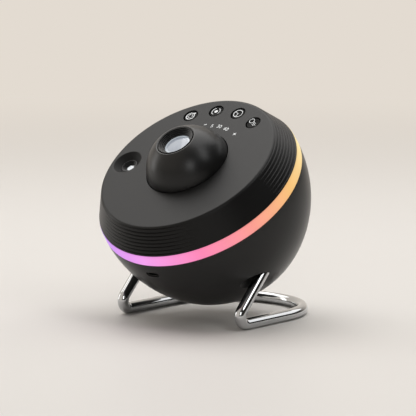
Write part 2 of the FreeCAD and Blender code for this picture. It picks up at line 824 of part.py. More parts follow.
# ---- inner frame and lamp ----
def make_inner_frame():
    """Frame plate with rim, running collars, laser holder, legs and posts."""
    laser_at = axle_line * laser_circle
    frame = post(rim_in, frame_low, frame_top)
    adds = [tube(rim_out, rim_in, rim_low, rim_top)]
    adds.append(tube(collar_radius, collar_radius - collar_wall, frame_top, collar_top))
    adds.append(tube(grating_collar, grating_bore, frame_top, collar_top, laser_at))
    adds.append(post(laser_radius + 1.8, frame_low - laser_grip, frame_low, laser_at))
    adds += [post(leg_radius, leg_end, frame_low, polar(leg_circle, a)) for a in leg_azimuths]
    adds += [post(sink_post_radius, sink_top, frame_low, p) for p in sink_points()]
    adds += [post(stand_off_radius + 0.5, main_board_top, frame_low, polar(r, a))
             for r, a in main_board_posts]
    frame = frame.fuse(adds)
    top = frame_top - float_gap
    cuts = [post(condenser_radius + slip, frame_top - 2.0, collar_top + 1)]
    cuts.append(post(condenser_radius - condenser_ledge, frame_low - 1, frame_top))
    cuts.append(post(laser_radius + pilot_fit, frame_low - laser_grip - 1, top, laser_at))
    cuts.append(post(grating_bore, frame_low, collar_top + 1, laser_at))
    cuts.append(post(motor_boss + slip, frame_low - 1, frame_top + 1, axle_line * pinion_circle))
    cuts += [post(screw_radius + hole_play / 2.0, frame_low - 1, frame_top + 1, polar(post_circle, a))
             for a in post_azimuths]
    cuts += [post(big_screw_radius + pilot_fit, leg_end - 1, leg_end + big_screw_bite + 1,
                  polar(leg_circle, a)) for a in leg_azimuths]
    cuts += [post(screw_radius + pilot_fit, sink_top - 1, frame_top - 0.8, p) for p in sink_points()]
    cuts += [post(screw_radius + pilot_fit, main_board_top - 1, main_board_top + screw_bite + 1,
                  polar(r, a)) for r, a in main_board_posts]
    cuts += [post(screw_radius + pilot_fit, frame_low - 1, frame_top - 0.5, p)
             for p in motor_ear_points()]
    return frame.cut(cuts).removeSplitter()


def sink_points():
    """Screw posts of the heat sink, either side of the gear line."""
    return [polar(sink_post_circle, laser_azimuth + s * 90.0) for s in (-1, 1)]


def make_condenser_lens():
    """Condenser lens under the film."""
    return crown_lens(condenser_radius, frame_top - 2.0, condenser_edge, condenser_crown)


def make_lamp_reflector():
    """Cone that gathers the lamp's light into the condenser."""
    low = lamp_board_top
    small = lamp_led_radius + 0.8
    large = condenser_radius - condenser_ledge
    return turned([
        (small, low),
        (small + reflector_wall, low),
        (large - reflector_wall, frame_low - reflector_wall),
        (reflector_flange, frame_low - reflector_wall),
        (reflector_flange, frame_low),
        (large - 2 * reflector_wall, frame_low),
    ])


def make_lamp_led():
    """Lamp with a round clear dome."""
    base_top = lamp_board_top + lamp_led_base
    base = post(lamp_led_radius, lamp_board_top, base_top)
    dome = Part.makeSphere(lamp_led_radius - lamp_led_edge, V(0, 0, base_top))
    dome = dome.common(post(lamp_led_radius, lamp_board_top, base_top + lamp_led_radius))
    return base.fuse(dome).removeSplitter()


def make_lamp_board():
    """Round metal-core board under the lamp."""
    return post(lamp_board_radius, sink_top, lamp_board_top)


def make_heat_sink():
    """Finned aluminium block."""
    low = sink_top - sink_length
    base = post(sink_radius, sink_top - sink_base, sink_top)
    fins = []
    for i in range(fin_count):
        offset = (i - (fin_count - 1) / 2.0) * fin_pitch
        fin = Part.makeBox(2 * sink_radius, fin_thick, sink_length - sink_base / 2.0,
                           V(-sink_radius, offset - fin_thick / 2.0, low))
        fins.append(fin.common(post(sink_radius, low - 1, sink_top)))
    sink = base.fuse(fins)
    pockets = [post(screw_head + hole_play, low - 1, sink_top - sink_base, p) for p in sink_points()]
    pockets += [post(screw_radius + hole_play / 2.0, low, sink_top + 1, p) for p in sink_points()]
    return sink.cut(pockets).removeSplitter()


# ---- buttons ----
def button_points():
    """Button centres along the arc beside the rim."""
    middle = (len(button_names) - 1) / 2.0
    return [polar(button_circle, button_middle + (middle - i) * button_step)
            for i in range(len(button_names))]


def button_board_points():
    """Screw posts of the button board, between the buttons."""
    return [polar(button_circle, button_middle - button_step),
            polar(button_circle, button_middle + button_step),
            polar(button_circle - 2 * button_flange + stand_off_inset, button_middle)]


def make_button(at):
    """Cap, retaining flange and stem of one button."""
    top = face_height - button_sink
    flange_top = face_under - button_free
    flange_bottom = flange_top - button_flange_thick
    button = turned([
        (0.0, switch_top - stem_entry),
        (stem_radius, switch_top - stem_entry),
        (stem_radius, flange_bottom),
        (button_flange, flange_bottom),
        (button_flange, flange_top),
        (button_radius, flange_top),
        (button_radius, top, button_round),
        (button_radius - button_rim, top - button_crown / 3.0),
        (button_radius / 2.5, top - button_crown),
        (0.0, top - button_crown),
    ])
    button.translate(at)
    return button


def make_button_switches():
    """Push switches under the buttons."""
    switches = []
    for at in button_points():
        azimuth = math.degrees(math.atan2(at.y, at.x))
        body = block(switch_size, switch_size, button_board_top, switch_top, at, azimuth)
        well = post(stem_radius + running, switch_top - stem_entry - button_travel - 0.2,
                    switch_top + 1, at)
        switches.append(body.cut(well))
    return Part.makeCompound(switches)


def make_button_board():
    """Circuit board under the buttons and the indicator."""
    board = sector(button_board_in, button_board_out, button_middle, button_board_span,
                   button_board_top - board_thick, button_board_top)
    holes = [post(screw_radius + hole_play / 2.0, 0.0, button_board_top + 1, p)
             for p in button_board_points()]
    return board.cut(holes)


def indicator_points():
    """Lamp centres under the indicator."""
    step = indicator_span / indicator_lamps
    first = indicator_middle - indicator_span / 2.0 + step / 2.0
    return [polar(indicator_circle, first + i * step) for i in range(indicator_lamps)]


def make_indicator_guide():
    """Light guide under the printed indicator row."""
    half = indicator_width / 2.0
    return sector(indicator_circle - half, indicator_circle + half, indicator_middle,
                  indicator_span, indicator_low, face_under).cut(
                      post(dome_radius + dome_flange + slip, 0.0, face_under))


def make_indicator_leds():
    """Small lamps of the indicator."""
    lamps = []
    for at in indicator_points():
        azimuth = math.degrees(math.atan2(at.y, at.x))
        lamps.append(block(indicator_lamp_size, indicator_lamp_size, button_board_top,
                           button_board_top + indicator_lamp_height, at, azimuth))
    return Part.makeCompound(lamps)


# ---- main board ----
def port_height():
    """Height of the power socket's middle."""
    return main_board_top + port_tall / 2.0


def make_main_board():
    """Crescent circuit board at the front of the bowl."""
    board = sector(main_board_in, main_board_out, -90.0, main_board_span,
                   main_board_top - board_thick, main_board_top)
    holes = [post(screw_radius + hole_play / 2.0, main_board_top - 3, main_board_top + 1, polar(r, a))
             for r, a in main_board_posts]
    return board.cut(holes)


def make_board_parts():
    """Control chip and capacitors on the main board."""
    chip = block(chip_size, chip_size, main_board_top, main_board_top + chip_height,
                 polar(parts_circle, chip_azimuth), chip_azimuth)
    parts = [chip]
    for azimuth in can_azimuths:
        parts.append(post(can_radius, main_board_top, main_board_top + can_height,
                          polar(parts_circle, azimuth)))
    return Part.makeCompound(parts)


def make_power_socket():
    """Oblong low-voltage socket with its tongue."""
    mouth = port_sink - bowl_reach(port_height())
    socket = slot_prism(port_width, port_tall, port_long)
    cavity = slot_prism(port_width - 2 * port_shell, port_tall - 2 * port_shell,
                        port_long - 1.0)
    cavity.translate(V(0, -0.01, 0))
    tongue = Part.makeBox(tongue_width, port_long - 1.5, tongue_thick,
                          V(-tongue_width / 2.0, 1.0, -tongue_thick / 2.0))
    socket = socket.cut(cavity).fuse(tongue).removeSplitter()
    socket.translate(V(0, mouth, port_height()))
    return socket


# ---- stand, drawn upright over the table with the ring centre above y = 0 ----
def strut_points(side):
    """Front corner and strut direction of one side, in table coordinates."""
    angle = math.radians(strut_angle)
    corner = V(side * foot_spacing / 2.0, -strut_ahead, rod_radius)
    return corner, V(0, math.cos(angle), math.sin(angle))


def over_bowl(point):
    """Distance of a table point from the bowl's surface, positive outside."""
    lean = math.radians(tilt)
    rise = point.z - ring_above_table
    across = math.hypot(point.x, point.y * math.cos(lean) + rise * math.sin(lean))
    below = point.y * math.sin(lean) - rise * math.cos(lean) - band_height
    flank_centre, crown_centre, meet = oval_joint(bowl_radius, bowl_depth, bowl_flank)
    here = V(across, 0, below)
    from_flank = here - flank_centre
    if from_flank.z * meet.x < from_flank.x * meet.z:
        return from_flank.Length - bowl_flank
    return (here - crown_centre).Length - crown_radius(bowl_radius, bowl_depth, bowl_flank)


def bowl_entry(side):
    """Distance up the strut, from its front corner, at which it meets the bowl's surface."""
    corner, rise = strut_points(side)
    outside = 0.0
    inside = ring_above_table / 2.0 / rise.z
    while inside - outside > 1e-9:
        middle = (inside + outside) / 2.0
        if over_bowl(corner + rise * middle) > 0.0:
            outside = middle
        else:
            inside = middle
    return inside


def bent_rod(points, bends, radius):
    """Round rod along straight runs joined by tangent bends."""
    pieces = []
    start = points[0]
    for i in range(1, len(points)):
        here = points[i]
        forward = (here - points[i - 1]).normalize()
        if i == len(points) - 1:
            pieces.append(Part.makeCylinder(radius, (here - start).Length, start, forward))
            break
        onward = (points[i + 1] - here).normalize()
        turn = forward.getAngle(onward)
        back_off = bends[i] * math.tan(turn / 2.0)
        stop = here - forward * back_off
        pieces.append(Part.makeCylinder(radius, (stop - start).Length, start, forward))
        axis = forward.cross(onward).normalize()
        centre = stop + axis.cross(forward).normalize() * bends[i]
        section = Part.Face(Part.Wire(Part.makeCircle(radius, stop, forward)))
        pieces.append(section.revolve(centre, axis, math.degrees(turn)))
        start = here + onward * back_off
    return pieces[0].fuse(pieces[1:]).removeSplitter()


def make_stand():
    """One rod bent into two struts, two feet and the rear loop."""
    left, rise = strut_points(-1)
    right, _ = strut_points(1)
    length = bowl_entry(1) + grip
    rear_left = V(left.x, rear_reach, rod_radius)
    rear_right = V(right.x, rear_reach, rod_radius)
    points = [left + rise * length, left, rear_left, rear_right, right, right + rise * length]
    return bent_rod(points, [0, front_bend, rear_bend, rear_bend, front_bend, 0], rod_radius)


def socket_point(side, along):
    """Point on the strut's centreline, measured from where it enters the bowl."""
    corner, rise = strut_points(side)
    return corner + rise * (bowl_entry(side) + along)


def relief_point(side, along):
    """Point on the axis of the pocket ahead of a strut."""
    _, rise = strut_points(side)
    ahead = V(0, -rise.z, rise.y)
    return socket_point(side, along) + V(-side * relief_inward, 0, 0) + ahead * relief_ahead


def add_stand_sockets(shell):
    """Tubular sockets inside the bowl that hold the ends of the rod, each with its pocket."""
    _, rise = strut_points(1)
    outer = rod_radius + socket_wall
    bowl = lean_back(bowl_solid(wall / 2.0))
    lead = 3 * outer
    for side in (-1, 1):
        socket = Part.makeCylinder(outer, grip + lead, socket_point(side, -lead), rise)
        cup = Part.makeCylinder(relief_radius + relief_wall, relief_deep + relief_wall + lead,
                                relief_point(side, -lead), rise)
        pocket = Part.makeCylinder(relief_radius, relief_deep + 2 * lead, relief_point(side, -2 * lead), rise)
        shell = shell.fuse(cup.common(bowl)).cut(pocket)
        collar = socket.common(bowl).cut(pocket)
        shell = shell.fuse(collar)
        hole = Part.makeCylinder(rod_radius + rod_fit, grip + 2 * lead, socket_point(side, -2 * lead), rise)
        pin = Part.makeCylinder(big_screw_radius + pilot_fit, outer + 1,
                                socket_point(side, grip * 0.75), V(-side, 0, 0))
        shell = shell.cut([hole, pin])
    return shell


def make_stand_screws():
    """Set screws that clamp the rod in its sockets."""
    screws = []
    for side in (-1, 1):
        start = socket_point(side, grip * 0.75) + V(-side * (rod_radius + rod_fit), 0, 0)
        screws.append(Part.makeCylinder(big_screw_radius, socket_wall, start, V(-side, 0, 0)))
    return Part.makeCompound(screws)


def lean_back(shape):
    """Body piece put in its leaning place over the table."""
    shape = shape.copy()
    shape.rotate(ORIGIN, V(1, 0, 0), tilt)
    shape.translate(V(0, 0, ring_above_table))
    return shape


# ---- screws by group ----
def make_barrel_screws():
    """Screws through the barrel's ears into the face."""
    return Part.makeCompound([screw(polar(ear_circle, a), barrel_low, face_under - 0.6)
                              for a in post_azimuths])


def make_frame_screws():
    """Screws through the frame into the posts of the upper shell."""
    return Part.makeCompound([screw(polar(post_circle, a), frame_low, frame_top + screw_bite)
                              for a in post_azimuths])


def make_shell_screws():
    """Long screws from below that hold the bowl to the frame's legs."""
    return Part.makeCompound([
        screw(polar(leg_circle, a), leg_end - shelf, leg_end + big_screw_bite, big_screw_radius,
              big_screw_head, big_screw_head_height) for a in leg_azimuths])


def make_heat_sink_screws():
    """Screws between the fins into the frame's posts."""
    return Part.makeCompound([screw(p, sink_top - sink_base, frame_low) for p in sink_points()])


def make_motor_screws():
    """Screws through the motor's ears."""
    return Part.makeCompound([screw(p, frame_low - motor_ear_thick, frame_top - 0.8)
                              for p in motor_ear_points()])


def make_button_board_screws():
    """Screws that hold the button board."""
    return Part.makeCompound([screw(p, button_board_top - board_thick, face_under - 0.6)
                              for p in button_board_points()])


def make_main_board_screws():
    """Screws that hold the main board."""
    return Part.makeCompound([screw(polar(r, a), main_board_top - board_thick,
                                    main_board_top + screw_bite) for r, a in main_board_posts])


# ---- assembly ----
def build():
    """Every piece by name, leaning over the table."""
    body = {
        "upper_shell": make_upper_shell(),
        "light_ring": make_light_ring(),
        "ring_led_strip": make_ring_led_strip(),
        "ring_leds": make_ring_leds(),
        "dome_cover": make_dome_cover(),
        "lens_baffle": make_lens_baffle(),
        "front_lens": make_front_lens(),
        "lens_barrel": make_lens_barrel(),
        "rear_lens": make_rear_lens(),
        "lens_ring": make_lens_ring(),
        "barrel_screws": make_barrel_screws(),
        "film_wheel": make_film_wheel(),
        "film_disc": make_film_disc(),
        "film_clip": make_film_clip(),
        "drive_pinion": make_drive_pinion(),
        "motor_shaft": make_motor_shaft(),
        "drive_motor": make_drive_motor(),
        "motor_screws": make_motor_screws(),
        "grating_wheel": make_grating_wheel(),
        "grating_film": make_grating_film(),
        "laser_bezel": make_laser_bezel(),
        "laser_window": make_laser_window(),
        "laser_module": make_laser_module(),
        "inner_frame": make_inner_frame(),
        "frame_screws": make_frame_screws(),
        "condenser_lens": make_condenser_lens(),
        "lamp_reflector": make_lamp_reflector(),
        "lamp_led": make_lamp_led(),
        "lamp_board": make_lamp_board(),
        "heat_sink": make_heat_sink(),
        "heat_sink_screws": make_heat_sink_screws(),
        "button_switches": make_button_switches(),
        "button_board": make_button_board(),
        "button_board_screws": make_button_board_screws(),
        "indicator_guide": make_indicator_guide(),
        "indicator_leds": make_indicator_leds(),
        "main_board": make_main_board(),
        "board_parts": make_board_parts(),
        "main_board_screws": make_main_board_screws(),
        "power_socket": make_power_socket(),
        "shell_screws": make_shell_screws(),
    }
    for name, at in zip(button_names, button_points()):
        body[name] = make_button(at)
    pieces = {name: lean_back(shape) for name, shape in body.items()}
    pieces["lower_shell"] = add_stand_sockets(lean_back(make_lower_shell()))
    pieces["stand"] = make_stand()
    pieces["stand_screws"] = make_stand_screws()
    return pieces


def depth_middle(pieces):
    """Middle of the object from front to back."""
    boxes = [pieces[name].optimalBoundingBox(False) for name in ("upper_shell", "lower_shell", "stand")]
    return (min(box.YMin for box in boxes) + max(box.YMax for box in boxes)) / 2.0


parts = build()
middle_y = depth_middle(parts)
os.makedirs("parts", exist_ok=True)
for part_name, part_shape in parts.items():
    part_shape.translate(V(0, -middle_y, 0))
    part_shape.exportStep("parts/" + part_name + ".step")
    print(part_name, "solids", len(part_shape.Solids), "valid", part_shape.isValid(),
          "volume %.1f" % part_shape.Volume)
print("ring centre at y %.3f, z %.3f" % (-middle_y, ring_above_table))
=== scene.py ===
import json
import logging
import math
from dataclasses import dataclass, field
from enum import Enum
from typing import Any, Callable, Sequence

import bmesh
import bpy
from mathutils import Matrix, Vector


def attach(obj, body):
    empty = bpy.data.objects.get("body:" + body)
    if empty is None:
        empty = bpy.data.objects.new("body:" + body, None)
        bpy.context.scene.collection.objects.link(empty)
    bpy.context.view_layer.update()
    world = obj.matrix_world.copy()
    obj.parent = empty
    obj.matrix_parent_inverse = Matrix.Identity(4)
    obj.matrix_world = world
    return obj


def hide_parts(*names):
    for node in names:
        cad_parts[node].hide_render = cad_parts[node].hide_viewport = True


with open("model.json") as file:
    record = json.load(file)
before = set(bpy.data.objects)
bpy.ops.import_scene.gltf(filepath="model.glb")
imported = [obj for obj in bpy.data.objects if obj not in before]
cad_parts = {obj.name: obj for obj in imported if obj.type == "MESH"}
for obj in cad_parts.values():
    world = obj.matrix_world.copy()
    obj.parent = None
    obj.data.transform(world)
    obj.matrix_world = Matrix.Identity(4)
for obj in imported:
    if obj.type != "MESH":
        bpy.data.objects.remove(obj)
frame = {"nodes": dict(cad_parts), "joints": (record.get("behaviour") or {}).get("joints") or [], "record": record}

log = logging.getLogger("projector")

MM = 0.001
ON_AXIS = 1e-6
Colour = tuple[float, float, float]
Point2 = tuple[float, float]
Point3 = tuple[float, float, float]
Corner = tuple[float, ...]
Row = Callable[[float], Point2]


def srgb(red: int, green: int, blue: int) -> Colour:
    """Turns a colour from a designer's 0-255 values into linear light.

    Args:
        red: Red, 0 to 255.
        green: Green, 0 to 255.
        blue: Blue, 0 to 255.

    Returns:
        The colour as three linear values.
    """
    def linear(value: int) -> float:
        """One channel as linear light."""
        part = value / 255.0
        return part / 12.92 if part <= 0.04045 else ((part + 0.055) / 1.055) ** 2.4
    return linear(red), linear(green), linear(blue)


def grey(level: int) -> Colour:
    """Neutral colour from one designer's value."""
    return srgb(level, level, level)


def shaded(colour: Colour, share: float) -> Colour:
    """Colour made darker or lighter, each channel times a share."""
    return colour[0] * share, colour[1] * share, colour[2] * share


# ---------------------------------------------------------------- axes
@dataclass(frozen=True)
class Shared:
    """Sizes that several pieces have in common, in millimetres about the body axis.

    Zero height is the upper edge of the light ring. Azimuths are in degrees, 0 on the right-hand
    side and -90 in front.
    """

    ring_radius: float = 65.0
    bowl_radius: float = 65.3
    ring_height: float = 7.3
    face_height: float = 16.0
    shell_wall: float = 2.5
    seam: float = 0.35
    film_height: float = 1.3
    laser_circle: float = 44.8
    laser_azimuth: float = 185.3
    laser_low: float = 9.4


SHARED = Shared()


class BodyAxes:
    """Axes of the leaning housing, read from the joint of the film wheel."""

    def __init__(self, joints: Sequence[dict[str, Any]]) -> None:
        """Reads the axis.

        Args:
            joints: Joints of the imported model.
        """
        spin = next(joint for joint in joints if joint["name"] == "film_spin")
        up = Vector(spin["axis"]).normalized()
        right = Vector((1.0, 0.0, 0.0))
        back = up.cross(right).normalized()
        self.centre = Vector(spin["pos_m"]) - up * SHARED.film_height * MM
        self.lean = math.atan2(back.z, back.y)
        turn = Matrix((right, back, up)).transposed().to_4x4()
        self.matrix = Matrix.Translation(self.centre) @ turn @ Matrix.Scale(MM, 4)


BODY = BodyAxes(frame["joints"])


def polar(radius: float, azimuth: float, height: float = 0.0) -> Vector:
    """Point about the body axis from radius, azimuth in degrees and height."""
    angle = math.radians(azimuth)
    return Vector((radius * math.cos(angle), radius * math.sin(angle), height))


# ---------------------------------------------------------------- shader graph
class Channel:
    """Output socket of a shader node that takes part in arithmetic."""

    def __init__(self, graph: "Graph", socket: bpy.types.NodeSocket) -> None:
        """Wraps a socket of a graph."""
        self.graph = graph
        self.socket = socket

    def _math(self, operation: str, *values: Any) -> "Channel":
        """Result of a Math node on values or channels."""
        settings, inputs = {"operation": operation}, dict(enumerate(values))
        return self.graph.channel("ShaderNodeMath", 0, settings, inputs)

    def __add__(self, other: Any) -> "Channel":
        """Sum."""
        return self._math("ADD", self, other)

    __radd__ = __add__

    def __sub__(self, other: Any) -> "Channel":
        """Difference."""
        return self._math("SUBTRACT", self, other)

    def __rsub__(self, other: Any) -> "Channel":
        """Difference from a plain number."""
        return self._math("SUBTRACT", other, self)

    def __mul__(self, other: Any) -> "Channel":
        """Product."""
        return self._math("MULTIPLY", self, other)

    __rmul__ = __mul__

    def __truediv__(self, other: Any) -> "Channel":
        """Quotient."""
        return self._math("DIVIDE", self, other)

    def __pow__(self, other: Any) -> "Channel":
        """Power."""
        return self._math("POWER", self, other)

    def above(self, limit: float) -> "Channel":
        """One where the value is over a limit, else zero."""
        return self._math("GREATER_THAN", self, limit)

    def larger(self, other: "Channel") -> "Channel":
        """Larger of two values."""
        return self._math("MAXIMUM", self, other)

    def size(self) -> "Channel":
        """Value without its sign."""
        return self._math("ABSOLUTE", self)

    def wave(self) -> "Channel":
        """Sine of the value."""
        return self._math("SINE", self)

    def angle_from(self, other: "Channel") -> "Channel":
        """Angle of the point (other, self), in radians."""
        return self._math("ARCTAN2", self, other)


class Graph:
    """Node tree of one material, or of the studio's surroundings."""

    def __init__(self, name: str, world: bool = False) -> None:
        """Starts an empty tree with an output node.

        Args:
            name: The material's name.
            world: Whether it is for the surroundings.
        """
        self.owner = (bpy.data.worlds if world else bpy.data.materials).new(name)
        self.owner.use_nodes = True
        self.tree = self.owner.node_tree
        self.tree.nodes.clear()
        self.output = self.tree.nodes.new("ShaderNodeOutputWorld" if world else "ShaderNodeOutputMaterial")

    def node(self, kind: str, settings: dict[str, Any] | None = None,
             inputs: dict[Any, Any] | None = None) -> bpy.types.Node:
        """Adds a node.

        Args:
            kind: Its type.
            settings: Values of its own properties; "stops" gives a ramp's (place, colour) pairs.
            inputs: Values or channels for its sockets, by name or number.

        Returns:
            The node.
        """
        made = self.tree.nodes.new(kind)
        for name, value in (settings or {}).items():
            if name == "stops":
                self._fill_ramp(made.color_ramp, value)
            else:
                setattr(made, name, value)
        for name, value in (inputs or {}).items():
            if isinstance(value, Channel):
                self.tree.links.new(value.socket, made.inputs[name])
            else:
                made.inputs[name].default_value = value
        return made

    @staticmethod
    def _fill_ramp(ramp: bpy.types.ColorRamp, stops: Sequence[tuple[float, Colour]]) -> None:
        """Gives a ramp its stops.

        Args:
            ramp: The ramp.
            stops: (place, colour) pairs in rising order.
        """
        while len(ramp.elements) < len(stops):
            ramp.elements.new(0.5)
        for element, (place, colour) in zip(ramp.elements, stops):
            element.position = place
            element.color = (*colour, 1.0)

    def channel(self, kind: str, output: Any, settings: dict[str, Any] | None = None,
                inputs: dict[Any, Any] | None = None) -> Channel:
        """Adds a node and returns one of its outputs."""
        return Channel(self, self.node(kind, settings, inputs).outputs[output])

    def place(self) -> Channel:
        """Object coordinates, in metres."""
        return self.channel("ShaderNodeTexCoord", "Object")

    def body_place(self) -> Channel:
        """Coordinates about the axis of the leaning housing, in metres."""
        inputs = {"Vector": self.place(), "Location": BODY.centre, "Rotation": (BODY.lean, 0.0, 0.0)}
        return self.channel("ShaderNodeMapping", 0, {"vector_type": "TEXTURE"}, inputs)

    def split(self, vector: Channel) -> tuple[Channel, ...]:
        """Three coordinates of a vector."""
        outputs = self.node("ShaderNodeSeparateXYZ", None, {0: vector}).outputs
        return tuple(Channel(self, socket) for socket in outputs)

    def measure(self, operation: str, *values: Any) -> Channel:
        """Number that a vector operation gives, such as a distance or a dot product."""
        return self.channel("ShaderNodeVectorMath", 1, {"operation": operation}, dict(enumerate(values)))

    def rise(self, value: Channel, start: float, end: float) -> Channel:
        """Share that goes smoothly from 0 to 1 while a value goes from a start to an end."""
        inputs = {"Value": value, "From Min": start, "From Max": end}
        return self.channel("ShaderNodeMapRange", 0, {"interpolation_type": "SMOOTHSTEP"}, inputs)

    def noise(self, scale: float, detail: float = 2.0, vector: Channel | None = None) -> Channel:
        """Soft noise between 0 and 1, with a scale in cycles a metre."""
        inputs = {"Vector": vector or self.place(), "Scale": scale, "Detail": detail}
        return self.channel("ShaderNodeTexNoise", "Fac", None, inputs)

    def spots(self, scale: float, size: float, vector: Channel) -> Channel:
        """One inside scattered round spots, else zero, with a scale in spots a metre."""
        inputs = {"Vector": vector, "Scale": scale}
        return 1.0 - self.channel("ShaderNodeTexVoronoi", "Distance", None, inputs).above(size)

    def blend(self, factor: Any, first: Any, second: Any) -> Channel:
        """Mixes two colours.

        Args:
            factor: Share of the second colour.
            first: First colour, as three values or a channel.
            second: Second colour.

        Returns:
            The mixed colour.
        """
        def paint(colour: Any) -> Any:
            """A colour with its alpha, or the channel itself."""
            return colour if isinstance(colour, Channel) else (*colour, 1.0)
        settings = {"data_type": "RGBA", "clamp_factor": True}
        return self.channel("ShaderNodeMix", 2, settings, {0: factor, 6: paint(first), 7: paint(second)})

    def ramp(self, factor: Channel, stops: Sequence[tuple[float, Colour]]) -> Channel:
        """Colour ramp over a factor."""
        return self.channel("ShaderNodeValToRGB", 0, {"stops": stops}, {0: factor})

    def bump(self, height: Channel, depth: float) -> Channel:
        """Normal disturbed by a height between 0 and 1, where 1 stands for a depth in metres."""
        inputs = {"Strength": 1.0, "Distance": depth, "Height": height}
        return self.channel("ShaderNodeBump", 0, None, inputs)

    def seen(self) -> tuple[Channel, Channel]:
        """Tells the rays of the camera from those of reflections and glass.

        Returns:
            One where the camera sees the surface, and one where a reflection or glass shows it.
        """
        path = self.node("ShaderNodeLightPath").outputs
        camera, glossy, through = [Channel(self, path[f"Is {kind} Ray"]) for kind in
                                   ("Camera", "Glossy", "Transmission")]
        return camera, glossy.larger(through)

    def principled(self, **inputs: Any) -> bpy.types.Node:
        """Adds a Principled shader.

        Args:
            inputs: Values or channels by socket name, with underscores for spaces.

        Returns:
            The shader.
        """
        named = {}
        for name, value in inputs.items():
            if isinstance(value, tuple) and len(value) == 3:
                value = (*value, 1.0)
            named[name.replace("_", " ")] = value
        return self.node("ShaderNodeBsdfPrincipled", None, named)

    def close(self, shader: bpy.types.Node) -> bpy.types.ID:
        """Ends the tree in a shader and returns the material or the surroundings."""
        self.tree.links.new(shader.outputs[0], self.output.inputs[0])
        return self.owner


# ---------------------------------------------------------------- finishes
@dataclass(frozen=True)
class Moulded:
    """Moulded plastic with a fine spark-eroded texture, rougher inside a ball where painted shade darkens it.

    The ball is given by its centre and its reach in metres.
    """

    name: str
    colour: Colour
    roughness: float = 0.45
    grain: float = 0.00035
    relief: float = 0.000012
    gloss: float = 0.5
    painted_shade_ball: tuple[Point3, float] | None = None
    painted_shade_share: float = 0.35
    painted_shade_edge: float = 0.88
    shade_ball_roughness: float = 0.25
    contrast: float = 0.14
    cloud_scale: float = 28.0
    cloud_share: float = 0.7
    cloud_wear: float = 0.06
    grain_wear: float = 0.04

    def material(self) -> bpy.types.Material:
        """Builds the finish.

        Returns:
            The material.
        """
        graph = Graph(self.name)
        fine = graph.noise(1.0 / self.grain, detail=3.0)
        cloud = graph.noise(self.cloud_scale)
        darker, lighter = shaded(self.colour, 1.0 - self.contrast), shaded(self.colour, 1.0 + self.contrast)
        colour = graph.blend(cloud * self.cloud_share + fine * (1.0 - self.cloud_share), darker, lighter)
        least = self.roughness - (self.cloud_wear + self.grain_wear) / 2.0
        roughness = least + cloud * self.cloud_wear + fine * self.grain_wear
        # Painted shade: inside the ball the colour darkens, standing in for the shade in the laser's dish; the
        # roughness rises there too.
        if self.painted_shade_ball:
            centre, reach = self.painted_shade_ball
            away = graph.measure("DISTANCE", graph.place(), centre) / reach
            inside = graph.rise(away, 1.0, self.painted_shade_edge)
            colour = graph.blend(inside, colour, shaded(self.colour, self.painted_shade_share))
            roughness = roughness + inside * self.shade_ball_roughness
        return graph.close(graph.principled(
            Base_Color=colour,
            Roughness=roughness,
            Specular_IOR_Level=self.gloss,
            Normal=graph.bump(fine, self.relief),
        ))


@dataclass(frozen=True)
class Printed:
    """Screen-printed ink with a slightly uneven tone and a painted glow that brightens it as emission."""

    name: str
    colour: Colour
    painted_glow: float = 0.0
    speckle_scale: float = 9000.0
    thin_ink: float = 0.82
    roughness: float = 0.42
    wear: float = 0.12

    def material(self) -> bpy.types.Material:
        """Builds the finish.

        Returns:
            The material.
        """
        graph = Graph(self.name)
        speckle = graph.noise(self.speckle_scale)
        return graph.close(graph.principled(
            Base_Color=graph.blend(speckle, shaded(self.colour, self.thin_ink), self.colour),
            Roughness=self.roughness + speckle * self.wear,
            # Painted light: the print shines with its own colour, brighter than the lamps alone light it.
            Emission_Color=self.colour,
            Emission_Strength=self.painted_glow,
        ))


@dataclass(frozen=True)
class LitDiffuser:
    """Frosted band lit from behind, its colour changing round the body axis."""

    name: str
    stops: tuple[tuple[float, Colour], ...]
    height: float = SHARED.ring_height * MM
    base: Colour = (0.04, 0.036, 0.04)
    lamps: int = 24
    lamp_shade: float = 0.02
    edge_shade: float = 0.10
    edge_power: float = 4.0
    frost_scale: float = 2200.0
    frost_shade: float = 0.03
    relief: float = 0.00001
    roughness: float = 0.42
    wear: float = 0.1
    gloss: float = 0.15

    def material(self) -> bpy.types.Material:
        """Builds the finish.

        Returns:
            The material.
        """
        graph = Graph(self.name)
        across, along, height = graph.split(graph.body_place())
        turn = along.angle_from(across) / (2.0 * math.pi) + 0.5
        frost = graph.noise(self.frost_scale, detail=3.0)
        spots = (turn * (self.lamps * 2.0 * math.pi)).wave() * 0.5 + 0.5
        middle = 1.0 - ((height / self.height + 0.5).size() * 2.0) ** self.edge_power * self.edge_shade
        level = middle - spots * self.lamp_shade - frost * self.frost_shade
        inputs = {0: graph.ramp(turn, self.stops), "Scale": level}
        return graph.close(graph.principled(
            Base_Color=self.base,
            Roughness=self.roughness + frost * self.wear,
            Specular_IOR_Level=self.gloss,
            Emission_Color=graph.channel("ShaderNodeVectorMath", 0, {"operation": "SCALE"}, inputs),
            Emission_Strength=1.0,
            Normal=graph.bump(frost, self.relief),
        ))


